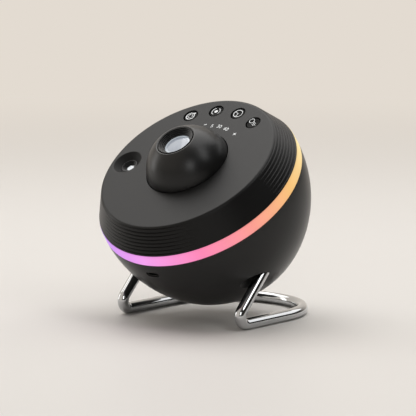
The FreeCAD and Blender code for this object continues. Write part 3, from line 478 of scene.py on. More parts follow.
@dataclass(frozen=True)
class CoatedGlass:
    """Coated glass with a centre in metres, one tone in its middle and another at its rim; the rim's tone is
    painted light, and a painted glow sends both tones out as emission.
    """

    name: str
    centre: Point3
    radius: float
    middle: Colour
    rim: Colour
    painted_glow: float = 0.0
    rim_start: float = 0.80
    rim_full: float = 0.93
    haze_scale: float = 420.0
    haze_share: float = 0.05
    haze: Colour = (0.9, 0.9, 0.95)
    roughness: float = 0.12
    wear: float = 0.04
    coat: float = 0.3
    coat_roughness: float = 0.05
    index: float = 1.45

    def material(self) -> bpy.types.Material:
        """Builds the finish.

        Returns:
            The material.
        """
        graph = Graph(self.name)
        share = graph.measure("DISTANCE", graph.place(), self.centre) / self.radius
        haze = graph.noise(self.haze_scale, detail=3.0)
        # Painted light: the rim tone is a painted highlight or painted shade, and the painted glow below shines
        # the tones as emission.
        glass_tone_and_painted_rim = graph.ramp(share, ((0.0, self.middle), (self.rim_start, self.middle),
                                  (self.rim_full, self.rim), (1.0, self.rim)))
        glass_tone_and_painted_rim = graph.blend(haze * self.haze_share, glass_tone_and_painted_rim, self.haze)
        return graph.close(graph.principled(
            Base_Color=glass_tone_and_painted_rim,
            Roughness=self.roughness + haze * self.wear,
            Coat_Weight=self.coat,
            Coat_Roughness=self.coat_roughness,
            IOR=self.index,
            Emission_Color=glass_tone_and_painted_rim,
            Emission_Strength=self.painted_glow,
        ))


@dataclass(frozen=True)
class Metal:
    """Bare or plated metal with fine working marks along one direction."""

    name: str
    colour: Colour
    roughness: float = 0.2
    stretch: Point3 = (1.0, 1.0, 1.0)
    marks: float = 0.06
    relief: float = 0.000004
    mark_scale: float = 5200.0
    cloud_scale: float = 60.0
    worn: float = 0.9

    def material(self) -> bpy.types.Material:
        """Builds the finish.

        Returns:
            The material.
        """
        graph = Graph(self.name)
        inputs = {"Vector": graph.place(), "Scale": self.stretch}
        place = graph.channel("ShaderNodeMapping", 0, None, inputs)
        fine = graph.noise(self.mark_scale, vector=place)
        cloud = graph.noise(self.cloud_scale, detail=3.0)
        return graph.close(graph.principled(
            Base_Color=graph.blend(cloud, self.colour, shaded(self.colour, self.worn)),
            Metallic=1.0,
            Roughness=self.roughness + fine * self.marks + cloud * self.marks * 0.5,
            Normal=graph.bump(fine, self.relief),
        ))


@dataclass(frozen=True)
class CircuitBoard:
    """Green solder mask over copper tracks, with tinned pads."""

    name: str
    mask: Colour = (0.012, 0.085, 0.035)
    over_track: float = 1.9
    tin: Colour = (0.62, 0.60, 0.55)
    track_scale: float = 260.0
    track_width: float = 0.06
    track_offset: float = 0.37
    track_squash: float = 1.6
    track_wear: float = 0.1
    pad_scale: float = 330.0
    pad_size: float = 0.24
    pad_polish: float = 0.08
    roughness: float = 0.34
    relief: float = 0.00003

    def material(self) -> bpy.types.Material:
        """Builds the finish.

        Returns:
            The material.
        """
        graph = Graph(self.name)
        place = graph.body_place()
        settings = {"offset": self.track_offset, "squash": self.track_squash}
        inputs = {"Vector": place, "Scale": self.track_scale, "Mortar Size": self.track_width}
        tracks = graph.channel("ShaderNodeTexBrick", "Fac", settings, inputs)
        pad = graph.spots(self.pad_scale, self.pad_size, place)
        board = graph.blend(tracks, self.mask, shaded(self.mask, self.over_track))
        return graph.close(graph.principled(
            Base_Color=graph.blend(pad, board, self.tin),
            Roughness=self.roughness - pad * self.pad_polish + tracks * self.track_wear,
            Metallic=pad,
            Normal=graph.bump(tracks * 0.5 + pad * 0.5, self.relief),
        ))


@dataclass(frozen=True)
class StarFilm:
    """Black film pricked with stars of several sizes."""

    name: str
    ground: Colour
    star: Colour
    scales: tuple[float, ...] = (900.0, 420.0, 190.0)
    least_size: float = 0.10
    growth: float = 0.02
    haze_scale: float = 700.0
    roughness: float = 0.12
    wear: float = 0.06
    coat: float = 0.4

    def material(self) -> bpy.types.Material:
        """Builds the finish.

        Returns:
            The material.
        """
        graph = Graph(self.name)
        place = graph.body_place()
        small, *larger = [graph.spots(scale, self.least_size + self.growth * number, place)
                          for number, scale in enumerate(self.scales)]
        return graph.close(graph.principled(
            Base_Color=graph.blend(sum(larger, small), self.ground, self.star),
            Roughness=self.roughness + graph.noise(self.haze_scale) * self.wear,
            Coat_Weight=self.coat,
        ))


@dataclass(frozen=True)
class Lamp:
    """Lamp chip: yellow phosphor in a white case."""

    name: str
    phosphor: Colour = (0.85, 0.62, 0.12)
    case: Colour = (0.82, 0.82, 0.78)
    grain_scale: float = 3500.0
    grain_share: float = 0.3
    chip_scale: float = 420.0
    chip_size: float = 0.33
    roughness: float = 0.25
    wear: float = 0.2
    coat: float = 0.3

    def material(self) -> bpy.types.Material:
        """Builds the finish.

        Returns:
            The material.
        """
        graph = Graph(self.name)
        grains = graph.noise(self.grain_scale, detail=4.0)
        chip = graph.spots(self.chip_scale, self.chip_size, graph.place())
        share = chip * (1.0 - self.grain_share + grains * self.grain_share)
        return graph.close(graph.principled(
            Base_Color=graph.blend(share, self.case, self.phosphor),
            Roughness=self.roughness + grains * self.wear,
            Coat_Weight=self.coat,
        ))


@dataclass(frozen=True)
class Tabletop:
    """Plain pale table, lightly glossy, which far off shows as the plain backdrop."""

    name: str
    colour: Colour
    backdrop: Colour
    beyond: Point3
    near: float = 0.30
    far: float = 1.50
    cloud_scale: float = 2.2
    worn: float = 0.965
    roughness: float = 0.46
    wear: float = 0.08
    gloss: float = 0.25

    def material(self) -> bpy.types.Material:
        """Builds the finish.

        Returns:
            The material.
        """
        graph = Graph(self.name)
        cloud = graph.noise(self.cloud_scale, detail=4.0)
        table = graph.principled(
            Base_Color=graph.blend(cloud, shaded(self.colour, self.worn), self.colour),
            Roughness=self.roughness + cloud * self.wear,
            Specular_IOR_Level=self.gloss,
        )
        place = graph.place()
        away = graph.rise(graph.measure("LENGTH", place), self.near, self.far)
        behind = graph.rise(graph.measure("DOT_PRODUCT", place, self.beyond), self.near, self.far)
        camera, others = graph.seen()
        plain = graph.node("ShaderNodeEmission", None, {"Color": (*self.backdrop, 1.0), "Strength": 1.0})
        return graph.close(graph.node("ShaderNodeMixShader", None, {
            0: camera * away + others * behind,
            1: Channel(graph, table.outputs[0]),
            2: Channel(graph, plain.outputs[0]),
        }))


class Palette:
    """Finishes of the projector, each built once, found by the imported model's slot names."""

    LENS_HEIGHT = 30.7
    LENS_RADIUS = 7.9
    WINDOW_HEIGHT = 11.0
    WINDOW_RADIUS = 2.4
    DISH_SHADE_REACH = 9.8
    VIOLET = srgb(176, 128, 240)
    ORCHID = srgb(246, 158, 240)
    PINK = srgb(255, 134, 182)
    CORAL = srgb(253, 156, 142)
    AMBER = srgb(248, 194, 116)
    YELLOW = srgb(250, 226, 160)
    RING_STOPS = ((0.0, VIOLET), (0.13, VIOLET), (0.25, ORCHID), (0.345, PINK), (0.43, CORAL),
                  (0.515, AMBER), (0.61, YELLOW), (0.70, YELLOW), (0.77, AMBER), (0.85, CORAL),
                  (0.91, PINK), (0.96, ORCHID), (1.0, VIOLET))

    def __init__(self) -> None:
        """Builds every finish."""
        lens = BODY.matrix @ Vector((0.0, 0.0, self.LENS_HEIGHT))
        window, dish = [tuple(BODY.matrix @ polar(SHARED.laser_circle, SHARED.laser_azimuth, height))
                        for height in (self.WINDOW_HEIGHT, SHARED.face_height)]
        makers = {
            # Painted shade: the shell's colour darkens inside a ball about the laser's dish, standing in for the
            # shade in that recess.
            "shell_black": Moulded("satin_black", grey(17), roughness=0.37, gloss=0.19,
                                   painted_shade_ball=(dish, self.DISH_SHADE_REACH * MM)),
            # Partly painted light: the bowl's black is lighter than the shell's, standing in for light bounced up
            # from the table.
            "bowl_black": Moulded("bowl_satin_black_painted_bounce", grey(44), roughness=0.29, gloss=0.14),
            "dome_black": Moulded("dome_satin_black", grey(16), roughness=0.34, grain=0.0003,
                                  relief=0.000005, gloss=0.36),
            "baffle_black": Moulded("matt_black", grey(20), roughness=0.33, grain=0.0003,
                                    relief=0.000006, gloss=0.25),
            "button_black": Moulded("button_black", grey(16), roughness=0.42, grain=0.0003,
                                    relief=0.000006, gloss=0.04),
            "frame_plastic": Moulded("frame_grey", srgb(96, 98, 102), roughness=0.5),
            "gear_plastic": Moulded("acetal_white", srgb(228, 226, 218), roughness=0.38, grain=0.0005,
                                    relief=0.00001),
            "reflector": Metal("vapour_silver", (0.93, 0.93, 0.92), roughness=0.07),
            "light_diffuser": LitDiffuser("lit_diffuser", self.RING_STOPS),
            # Painted light: the lens's lighter rim is a painted highlight, and its painted glow brightens the
            # whole glass.
            "lens_glass": CoatedGlass("coated_lens", tuple(lens), self.LENS_RADIUS * MM,
                                      middle=srgb(138, 145, 155), rim=srgb(184, 192, 200), painted_glow=0.33),
            "clear_film": StarFilm("star_film", ground=(0.004, 0.004, 0.006), star=(0.8, 0.8, 0.78)),
            "board": CircuitBoard("circuit_board"),
            "lamp": Lamp("lamp_chip"),
            "component": Moulded("component_black", srgb(30, 30, 32), roughness=0.35, grain=0.0006,
                                 relief=0.00001),
            "heat_sink_metal": Metal("extruded_aluminium", (0.78, 0.79, 0.80), roughness=0.28,
                                     stretch=(1.0, 1.0, 0.05), marks=0.14),
            "motor_metal": Metal("zinc_plate", (0.66, 0.66, 0.64), roughness=0.3, marks=0.12),
            "screw_steel": Metal("screw_steel", (0.56, 0.56, 0.55), roughness=0.24),
            "laser_brass": Metal("turned_brass", (0.80, 0.60, 0.28), roughness=0.18,
                                 stretch=(1.0, 1.0, 6.0), marks=0.1),
            "stand_chrome": Metal("bright_chrome", (0.56, 0.57, 0.58), roughness=0.03, marks=0.02,
                                  relief=0.0),
            # Painted shade: the plating is given a dark colour so that the socket reads as a shaded pit.
            "socket_metal": Metal("nickel_plate_painted_shade", (0.20, 0.20, 0.19), roughness=0.30),
        }
        # Painted light: the window's near-white middle shines with a painted glow, and its dark rim is painted
        # shade.
        self.window = CoatedGlass("laser_window_glass", window, self.WINDOW_RADIUS * MM,
                                  middle=srgb(226, 230, 234), rim=srgb(40, 40, 42), painted_glow=0.22).material()
        # Painted light: the white print is given a painted glow.
        self.print_white = Printed("print_white", srgb(214, 216, 216), painted_glow=0.3).material()
        self.by_slot = {slot: finish.material() for slot, finish in makers.items()}


# ---------------------------------------------------------------- mesh work
def slerp(start: Vector, end: Vector, share: float) -> Vector:
    """Spoke between two spokes of one circle."""
    angle = start.angle(end)
    return (start * math.sin((1.0 - share) * angle) + end * math.sin(share * angle)) / math.sin(angle)


def rounded(corners: Sequence[Corner], steps: int = 8) -> list[Point2]:
    """Rounds the corners of a closed outline.

    Args:
        corners: (radius, height) or (radius, height, rounding) corners.
        steps: Straight pieces in each rounding.

    Returns:
        The outline's points.
    """
    points: list[Point2] = []
    count = len(corners)
    for number, corner in enumerate(corners):
        here = Vector(corner[:2])
        if len(corner) < 3 or corner[2] <= 0.0:
            points.append((here.x, here.y))
            continue
        back = (Vector(corners[number - 1][:2]) - here).normalized()
        ahead = (Vector(corners[(number + 1) % count][:2]) - here).normalized()
        half = back.angle(ahead) / 2.0
        middle = here + (back + ahead).normalized() * (corner[2] / math.sin(half))
        start = here + back * (corner[2] / math.tan(half)) - middle
        end = here + ahead * (corner[2] / math.tan(half)) - middle
        for step in range(steps + 1):
            spoke = middle + slerp(start, end, step / steps)
            points.append((spoke.x, spoke.y))
    return points


def arc(centre: Sequence[float], radius: float, start: float, end: float, steps: int) -> list[Point2]:
    """Points along an arc.

    Args:
        centre: Its centre.
        radius: Its radius.
        start: First angle in radians.
        end: Last angle.
        steps: Straight pieces.

    Returns:
        The points, with both ends.
    """
    angles = [start + (end - start) * step / steps for step in range(steps + 1)]
    return [(centre[0] + radius * math.cos(angle), centre[1] + radius * math.sin(angle))
            for angle in angles]


def stair(start: Point2, run: float, fall: float, steps: int, edge: float) -> list[Corner]:
    """Corners of a flight of steps that goes inwards and down.

    Args:
        start: (radius, height) of its first corner.
        run: Width of a step.
        fall: Height of a step.
        steps: Number of steps.
        edge: Rounding of every corner.

    Returns:
        Upper and lower corner of each step in turn.
    """
    corners: list[Corner] = []
    for step in range(steps):
        radius = start[0] - run * step
        corners += [(radius, start[1] - fall * below, edge) for below in (step, step + 1)]
    return corners


def fixed(point: Point2) -> Row:
    """Row of a turned shape that is the same all round."""
    return lambda _azimuth: point


def revolve(rows: Sequence[Row], columns: int) -> bmesh.types.BMesh:
    """Turns a closed outline about the body axis.

    Args:
        rows: For each point of the outline, its (radius, height) at an azimuth in degrees.
        columns: Number of steps round the axis.

    Returns:
        The closed mesh, in millimetres.
    """
    mesh = bmesh.new()
    grid: list[list[bmesh.types.BMVert]] = []
    for row in rows:
        radius, height = row(0.0)
        if radius < ON_AXIS:
            grid.append([mesh.verts.new((0.0, 0.0, height))] * columns)
            continue
        line = []
        for column in range(columns):
            azimuth = 360.0 * column / columns
            radius, height = row(azimuth)
            line.append(mesh.verts.new(polar(radius, azimuth, height)))
        grid.append(line)
    for number, line in enumerate(grid):
        other = grid[(number + 1) % len(grid)]
        for column in range(columns):
            beside = (column + 1) % columns
            corners = [line[column], line[beside], other[beside], other[column]]
            distinct = list(dict.fromkeys(corners))
            if len(distinct) > 2:
                mesh.faces.new(distinct)
    bmesh.ops.recalc_face_normals(mesh, faces=mesh.faces)
    return mesh


def turned(outline: Sequence[Point2], columns: int) -> bmesh.types.BMesh:
    """Turns a plain closed outline about the body axis."""
    return revolve([fixed(point) for point in outline], columns)


def cylinder(radius: float, low: float, high: float, columns: int) -> bmesh.types.BMesh:
    """Plain cylinder on the body axis, from a low to a high end."""
    return turned([(0.0, low), (radius, low), (radius, high), (0.0, high)], columns)


def to_object(mesh: bmesh.types.BMesh, name: str, place: Matrix | None = None) -> bpy.types.Object:
    """Puts a mesh under construction into the scene.

    Args:
        mesh: The mesh, which is used up.
        name: The object's name.
        place: What to move its points by.

    Returns:
        The object, at the origin.
    """
    if place is not None:
        mesh.transform(place)
    data = bpy.data.meshes.new(name)
    mesh.to_mesh(data)
    mesh.free()
    made = bpy.data.objects.new(name, data)
    bpy.context.scene.collection.objects.link(made)
    return made


def settle(made: bpy.types.Object) -> bpy.types.Object:
    """Turns an object's modifiers into plain mesh.

    Args:
        made: The object.

    Returns:
        The same object.
    """
    bpy.context.view_layer.update()
    graph = bpy.context.evaluated_depsgraph_get()
    data = bpy.data.meshes.new_from_object(made.evaluated_get(graph))
    old = made.data
    made.modifiers.clear()
    made.data = data
    data.name = made.name
    if old.users == 0:
        bpy.data.meshes.remove(old)
    return made


def drop(made: bpy.types.Object) -> None:
    """Removes a helper object.

    Args:
        made: The object.
    """
    data = made.data
    bpy.data.objects.remove(made)
    if data.users == 0:
        bpy.data.meshes.remove(data)


def pour(whole: bmesh.types.BMesh, helper: bpy.types.Object) -> None:
    """Adds a helper object's mesh to a larger one and removes the helper."""
    whole.from_mesh(helper.data)
    drop(helper)


class Cut(Enum):
    """Ways of combining two solids."""

    AWAY = "DIFFERENCE"
    JOIN = "UNION"
    WITHIN = "INTERSECT"


def combine(made: bpy.types.Object, tools: Sequence[bpy.types.Object], way: Cut,
            used_up: bool = True) -> None:
    """Cuts tools out of an object, joins them to it, or keeps what lies within them.

    Args:
        made: The object that stays.
        tools: The solids to work with.
        way: What to do with them.
        used_up: Whether the tools are removed afterwards.
    """
    for tool in tools:
        step = made.modifiers.new("combine", "BOOLEAN")
        step.operation = way.value
        step.object = tool
        step.solver = "MANIFOLD"
    settle(made)
    for tool in tools if used_up else ():
        drop(tool)


def smooth(made: bpy.types.Object, finish: bpy.types.Material, angle: float = 32.0,
           exact: Callable[[Vector], Vector | None] | None = None) -> bpy.types.Object:
    """Moves a piece from body axes into the scene, with clean shading and its finish.

    Args:
        made: The piece, in millimetres about the body axis.
        finish: Its material.
        angle: Edges over this many degrees stay sharp.
        exact: Gives the true normal at a point of a curved surface, or None elsewhere.

    Returns:
        The piece.
    """
    same_way = 0.9
    made.data.shade_smooth()
    made.data.set_sharp_from_angle(angle=math.radians(angle))
    even = made.modifiers.new("even", "WEIGHTED_NORMAL")
    even.keep_sharp = True
    settle(made)
    data = made.data
    if exact is not None:
        normals = [Vector(corner.vector) for corner in data.corner_normals]
        truth = [exact(point.co) for point in data.vertices]
        for face in data.polygons:
            corners = [truth[number] for number in face.vertices]
            if all(corner is not None and corner.dot(face.normal) > same_way for corner in corners):
                for loop, corner in zip(face.loop_indices, corners):
                    normals[loop] = corner
        data.normals_split_custom_set(normals)
    data.transform(BODY.matrix)
    data.materials.clear()
    data.materials.append(finish)
    return made


def hand_over(made: bpy.types.Object, slot: str, *nodes: str, body: str = "housing") -> None:
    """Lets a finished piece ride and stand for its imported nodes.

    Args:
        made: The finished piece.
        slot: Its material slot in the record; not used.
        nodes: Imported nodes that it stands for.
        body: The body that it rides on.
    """
    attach(made, body)
    if nodes:
        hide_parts(*nodes)
    log.info("%s: %d faces", made.name, len(made.data.polygons))


# ---------------------------------------------------------------- geometry trees
class Tree:
    """Geometry node tree with named inputs."""

    KINDS = {"int": "NodeSocketInt", "float": "NodeSocketFloat", "material": "NodeSocketMaterial"}

    def __init__(self, name: str, inputs: Sequence[tuple[str, str]]) -> None:
        """Starts a tree with a geometry input and output.

        Args:
            name: The tree's name.
            inputs: (name, kind) pairs of its further inputs.
        """
        self.tree = bpy.data.node_groups.new(name, "GeometryNodeTree")
        face = self.tree.interface
        face.new_socket("Geometry", in_out="INPUT", socket_type="NodeSocketGeometry")
        for title, kind in inputs:
            face.new_socket(title, in_out="INPUT", socket_type=self.KINDS[kind])
        face.new_socket("Geometry", in_out="OUTPUT", socket_type="NodeSocketGeometry")
        self.start = self.tree.nodes.new("NodeGroupInput")
        self.end = self.tree.nodes.new("NodeGroupOutput")

    def __getitem__(self, title: str) -> bpy.types.NodeSocket:
        """Socket of a named input."""
        return self.start.outputs[title]

    def node(self, kind: str, settings: dict[str, Any] | None = None,
             inputs: dict[Any, Any] | None = None) -> bpy.types.NodeSocket:
        """Adds a node.

        Args:
            kind: Its type.
            settings: Values of its own properties, which are set first.
            inputs: Values or links of its sockets, by name or number.

        Returns:
            Its first output.
        """
        made = self.tree.nodes.new(kind)
        for name, value in (settings or {}).items():
            setattr(made, name, value)
        for name, value in (inputs or {}).items():
            if isinstance(value, bpy.types.NodeSocket):
                self.tree.links.new(value, made.inputs[name])
            else:
                made.inputs[name].default_value = value
        return made.outputs[0]

    def close(self, geometry: bpy.types.NodeSocket) -> None:
        """Ends the tree in realised instances with the material set.

        Args:
            geometry: What the tree has made.
        """
        real = self.node("GeometryNodeRealizeInstances", None, {0: geometry})
        inputs = {"Geometry": real, "Material": self["Material"]}
        dressed = self.node("GeometryNodeSetMaterial", None, inputs)
        self.tree.links.new(dressed, self.end.inputs[0])

    def run(self, made: bpy.types.Object, values: dict[str, Any]) -> bpy.types.Object:
        """Applies the tree to an object.

        Args:
            made: The object that carries the input geometry.
            values: Values of the inputs by name.

        Returns:
            The object, its mesh replaced by the tree's result.
        """
        grow = made.modifiers.new("grow", "NODES")
        grow.node_group = self.tree
        sockets = {item.name: item.identifier for item in self.tree.interface.items_tree
                   if item.in_out == "INPUT"}
        for title, value in values.items():
            grow[sockets[title]] = value
        return settle(made)


class RoundTree(Tree):
    """Repeats the input geometry round the axis, turned with its place."""

    def __init__(self) -> None:
        """Builds the tree."""
        super().__init__("repeat_round", [("Count", "int"), ("Radius", "float"),
                                          ("First Angle", "float"), ("Material", "material")])
        points = self.node("GeometryNodePoints", None, {"Count": self["Count"]})
        index = self.node("GeometryNodeInputIndex")
        step = self.node("ShaderNodeMath", {"operation": "DIVIDE"}, {0: 2.0 * math.pi, 1: self["Count"]})
        turn = self.node("ShaderNodeMath", {"operation": "MULTIPLY_ADD"},
                         {0: index, 1: step, 2: self["First Angle"]})
        spin = self.node("ShaderNodeCombineXYZ", None, {2: turn})
        arm = self.node("ShaderNodeCombineXYZ", None, {0: self["Radius"]})
        place = self.node("ShaderNodeVectorRotate", {"rotation_type": "EULER_XYZ"},
                          {"Vector": arm, "Rotation": spin})
        placed = self.node("GeometryNodeSetPosition", None, {"Geometry": points, "Position": place})
        self.close(self.node("GeometryNodeInstanceOnPoints", None,
                             {"Points": placed, "Instance": self["Geometry"], "Rotation": spin}))


class RodTree(Tree):
    """Sweeps a round rod along the input edges, bent at each point by its "bend" attribute."""

    def __init__(self) -> None:
        """Builds the tree."""
        super().__init__("bent_rod", [("Rod Radius", "float"), ("Sides", "int"),
                                      ("Bend Steps", "int"), ("Material", "material")])
        line = self.node("GeometryNodeMeshToCurve", None, {0: self["Geometry"]})
        bend = self.node("GeometryNodeInputNamedAttribute", {"data_type": "FLOAT"}, {"Name": "bend"})
        bent = self.node("GeometryNodeFilletCurve", {"mode": "POLY"},
                         {"Curve": line, "Count": self["Bend Steps"], "Radius": bend})
        section = self.node("GeometryNodeCurvePrimitiveCircle", None,
                            {"Resolution": self["Sides"], "Radius": self["Rod Radius"]})
        self.close(self.node("GeometryNodeCurveToMesh", None,
                             {"Curve": bent, "Profile Curve": section, "Fill Caps": True}))


# ---------------------------------------------------------------- housing
@dataclass
class Oval:
    """Section of the bowl: a flank arc and a crown arc that meet smoothly."""

    radius: float = SHARED.bowl_radius
    depth: float = 73.0
    flank: float = 79.0
    top: float = -SHARED.ring_height
    over_rim: float = 0.01
    off_surface: float = 0.02

    def __post_init__(self) -> None:
        """Works out both centres and their meeting direction."""
        rise = self.radius ** 2 + self.depth ** 2 - 2.0 * self.radius * self.flank
        self.crown = rise / (2.0 * (self.depth - self.flank))
        self.flank_centre = Vector((self.radius - self.flank, 0.0))
        self.crown_centre = Vector((0.0, self.depth - self.crown))
        self.meet = (self.crown_centre - self.flank_centre).normalized()
        if self.crown > self.flank:
            self.meet = -self.meet

    def line(self, inset: float, steps: int = 40) -> list[Point2]:
        """Points of the section from the rim to the pole.

        Args:
            inset: Distance inward from the surface.
            steps: Straight pieces in each arc.

        Returns:
            (radius, height) points.
        """
        joint = -math.atan2(self.meet.y, self.meet.x)
        crown_at = (0.0, self.top - self.crown_centre.y)
        flank = arc((self.flank_centre.x, self.top), self.flank - inset, 0.0, joint, steps)
        return flank[:-1] + arc(crown_at, self.crown - inset, joint, -math.pi / 2.0, steps)

    def spoke(self, point: Vector) -> tuple[Vector, float]:
        """Spoke to a point from the centre of the arc that it lies on.

        Args:
            point: A point about the body axis.

        Returns:
            The spoke, outwards and downwards, and the arc's radius.
        """
        here = Vector((math.hypot(point.x, point.y), self.top - point.z))
        from_flank = here - self.flank_centre
        if from_flank.y * self.meet.x > from_flank.x * self.meet.y:
            return here - self.crown_centre, self.crown
        return from_flank, self.flank

    def outside(self, point: Vector) -> float:
        """Distance of a point about the body axis from the surface, positive outside."""
        spoke, reach = self.spoke(point)
        return spoke.length - reach

    def normal(self, point: Vector) -> Vector | None:
        """Outward normal at a point of the surface.

        Args:
            point: A point about the body axis.

        Returns:
            The normal, or None where the point lies off the surface.
        """
        spoke, reach = self.spoke(point)
        if point.z - self.top > self.over_rim or abs(spoke.length - reach) > self.off_surface:
            return None
        across = math.hypot(point.x, point.y)
        if across < ON_AXIS:
            return Vector((0.0, 0.0, -1.0))
        unit = spoke.normalized()
        return Vector((unit.x * point.x / across, unit.x * point.y / across, -unit.y))


@dataclass
class UpperShell:
    """Flat face and sloping grooved wall."""

    ring_radius: float = SHARED.ring_radius
    face_inset: float = 8.4
    face_height: float = SHARED.face_height
    face_edge: float = 2.2
    edge_steps: int = 7
    wall: float = SHARED.shell_wall
    seam: float = SHARED.seam
    foot: float = 1.0
    groove_count: int = 8
    groove_pitch: float = 1.95
    groove_top: float = 15.0
    groove_depth: float = 0.9
    groove_width: float = 1.1
    groove_floor: float = 0.45
    groove_reach: float = 36.0
    groove_flat: float = 0.41
    groove_soft: float = 0.12
    groove_clear: float = 0.72
    patches: int = 3
    first_patch: float = -90.0
    dome_hole: float = 26.47
    dome_hole_edge: float = 0.3
    button_hole: float = 4.85
    button_hole_low: float = 10.0
    button_hole_edge: float = 0.25
    button_hole_land: float = 0.6
    dish_radius: float = 9.4
    dish_depth: float = 3.0
    dish_round: float = 1.2
    pit_radius: float = 5.2
    pit_edge: float = 0.35
    pit_low: float = SHARED.laser_low
    dish_wall: float = 1.8
    cutter_over: float = 1.0
    ear_circle: float = 34.0
    ear_radius: float = 3.4
    ear_low: float = 9.3
    post_circle: float = 50.0
    post_radius: float = 3.5
    post_low: float = -1.0
    post_azimuths: tuple[float, ...] = (30.0, 150.0, -90.0)
    stand_off: float = 2.3
    board_top: float = 7.6
    stand_offs: tuple[Point2, ...] = ((46.7, 66.5), (46.7, 109.5), (37.5, 88.0))
    columns: int = 360
    section: tuple[float, ...] = (-1.16, -1.0, -0.86, -0.68, -0.5, -0.36, -0.18, 0.0,
                                  0.18, 0.36, 0.5, 0.68, 0.86, 1.0, 1.16)

    def __post_init__(self) -> None:
        """Works out the slope, where the face's edge begins and where the laser stands."""
        self.run = self.face_inset / self.face_height
        self.face_radius = self.ring_radius - self.face_inset
        slope = math.atan(self.run)
        half = (math.pi / 2.0 + slope) / 2.0
        back_off = self.face_edge / math.tan(half)
        self.edge_start = self.face_height - back_off * math.cos(slope)
        self.edge_centre = Vector((self.face_radius - back_off, self.face_height - self.face_edge))
        self.laser = polar(SHARED.laser_circle, SHARED.laser_azimuth)
        self.dish_floor = self.face_height - self.dish_depth
        self.over = self.face_height + self.cutter_over

    def wall_radius(self, height: float) -> float:
        """Radius of the plain wall, rounded towards the face.

        Args:
            height: Height on the wall.

        Returns:
            The radius.
        """
        if height <= self.edge_start:
            return self.ring_radius - self.run * height
        rise = min(height - self.edge_centre.y, self.face_edge)
        return self.edge_centre.x + math.sqrt(self.face_edge ** 2 - rise ** 2)

    def depth_at(self, azimuth: float) -> float:
        """Depth of the grooves, which fade out towards a patch's ends.

        Args:
            azimuth: Where on the wall, in degrees.

        Returns:
            The depth, zero between the patches.
        """
        pitch = 360.0 / self.patches
        off = (azimuth - self.first_patch + pitch / 2.0) % pitch - pitch / 2.0
        fade = (1.0 - math.cos(math.radians(off))) / (1.0 - math.cos(math.radians(self.groove_reach)))
        return max(0.0, self.groove_depth * (1.0 - fade))

    def groove_row(self, height: float, share: float) -> Row:
        """Row of points along a groove.

        Args:
            height: Height of the groove's middle.
            share: Place across the groove, -1 and 1 at its edges.

        Returns:
            The row's (radius, height) at an azimuth.
        """
        spread = (self.groove_width - self.groove_floor) / 2.0 / self.groove_depth
        soft = 1.0 - self.groove_flat + 2.0 * self.groove_soft
        away = min(1.0, max(0.0, (abs(share) - self.groove_flat + self.groove_soft) / soft))
        fill = 1.0 - away * away * (3.0 - 2.0 * away)

        def row(azimuth: float) -> Point2:
            """Point of the row.

            Args:
                azimuth: Where on the wall, in degrees.

            Returns:
                Its (radius, height).
            """
            depth = self.depth_at(azimuth)
            half = self.groove_floor / 2.0 + spread * depth
            at = height + share * half
            surface = self.wall_radius(at)
            missing = self.ring_radius - self.run * at - surface
            return surface - max(0.0, fill * depth - missing), at
        return row

    def rows(self) -> list[Row]:
        """Rows of the shell's section.

        Returns:
            The rows, from the inner foot round to the underside.
        """
        level = self.wall * math.sqrt(1.0 + self.run ** 2)
        under = self.face_height - self.wall
        under_radius = self.face_radius + self.run * self.wall - level
        foot = rounded([(self.ring_radius - level, 0.0), (self.ring_radius, 0.0, self.seam),
                        (self.ring_radius - self.run * self.foot, self.foot)])[:-1]
        rows = [fixed(point) for point in foot]
        for number in reversed(range(self.groove_count)):
            height = self.groove_top - number * self.groove_pitch
            rows += [self.groove_row(height, share) for share in self.section]
        start = math.asin((self.groove_top + self.groove_clear - self.edge_centre.y) / self.face_edge)
        edge = arc(self.edge_centre, self.face_edge, start, math.pi / 2.0, self.edge_steps)[1:]
        inner = [(self.dome_hole + self.dome_hole_edge, self.face_height),
                 (self.dome_hole, self.face_height - self.dome_hole_edge),
                 (self.dome_hole, under), (under_radius, under)]
        return rows + [fixed(point) for point in edge + inner]

    def dish(self) -> bpy.types.Object:
        """Makes the cutter of the laser's dish and pit.

        Returns:
            The cutter.
        """
        low = self.pit_low - self.cutter_over
        reach = self.dish_radius + 2.0 * self.dish_round
        outline = rounded([(0.0, low), (self.pit_radius, low),
                           (self.pit_radius, self.dish_floor, self.pit_edge),
                           (self.dish_radius, self.face_height, self.dish_round),
                           (reach, self.face_height), (reach, self.over), (0.0, self.over)], steps=12)
        return to_object(turned(outline, columns=160), "dish_cutter", Matrix.Translation(self.laser))

    def button_well(self, at: Vector) -> bpy.types.Object:
        """Makes the cutter of one button's hole, with a small break at its edge.

        Args:
            at: The hole's centre.

        Returns:
            The cutter.
        """
        land = self.button_hole + self.button_hole_land
        outline = rounded([(0.0, self.button_hole_low), (self.button_hole, self.button_hole_low),
                           (self.button_hole, self.face_height, self.button_hole_edge),
                           (land, self.face_height), (land, self.over), (0.0, self.over)], steps=5)
        return to_object(turned(outline, columns=96), "well_cutter", Matrix.Translation(at))

    def posts(self) -> list[bpy.types.Object]:
        """Makes the posts, ears and the laser's cup under the face.

        Returns:
            The pieces, reaching into the face.
        """
        into = self.face_height - self.wall / 2.0
        rows = [(self.laser, self.pit_radius + self.dish_wall, self.pit_low),
                (self.laser, self.dish_radius + self.dish_wall, self.dish_floor - self.dish_wall)]
        rows += [(polar(circle, azimuth), radius, low)
                 for circle, radius, low in ((self.ear_circle, self.ear_radius, self.ear_low),
                                             (self.post_circle, self.post_radius, self.post_low))
                 for azimuth in self.post_azimuths]
        rows += [(polar(circle, azimuth), self.stand_off, self.board_top)
                 for circle, azimuth in self.stand_offs]
        return [to_object(cylinder(radius, low, into, columns=72), "post", Matrix.Translation(at))
                for at, radius, low in rows]

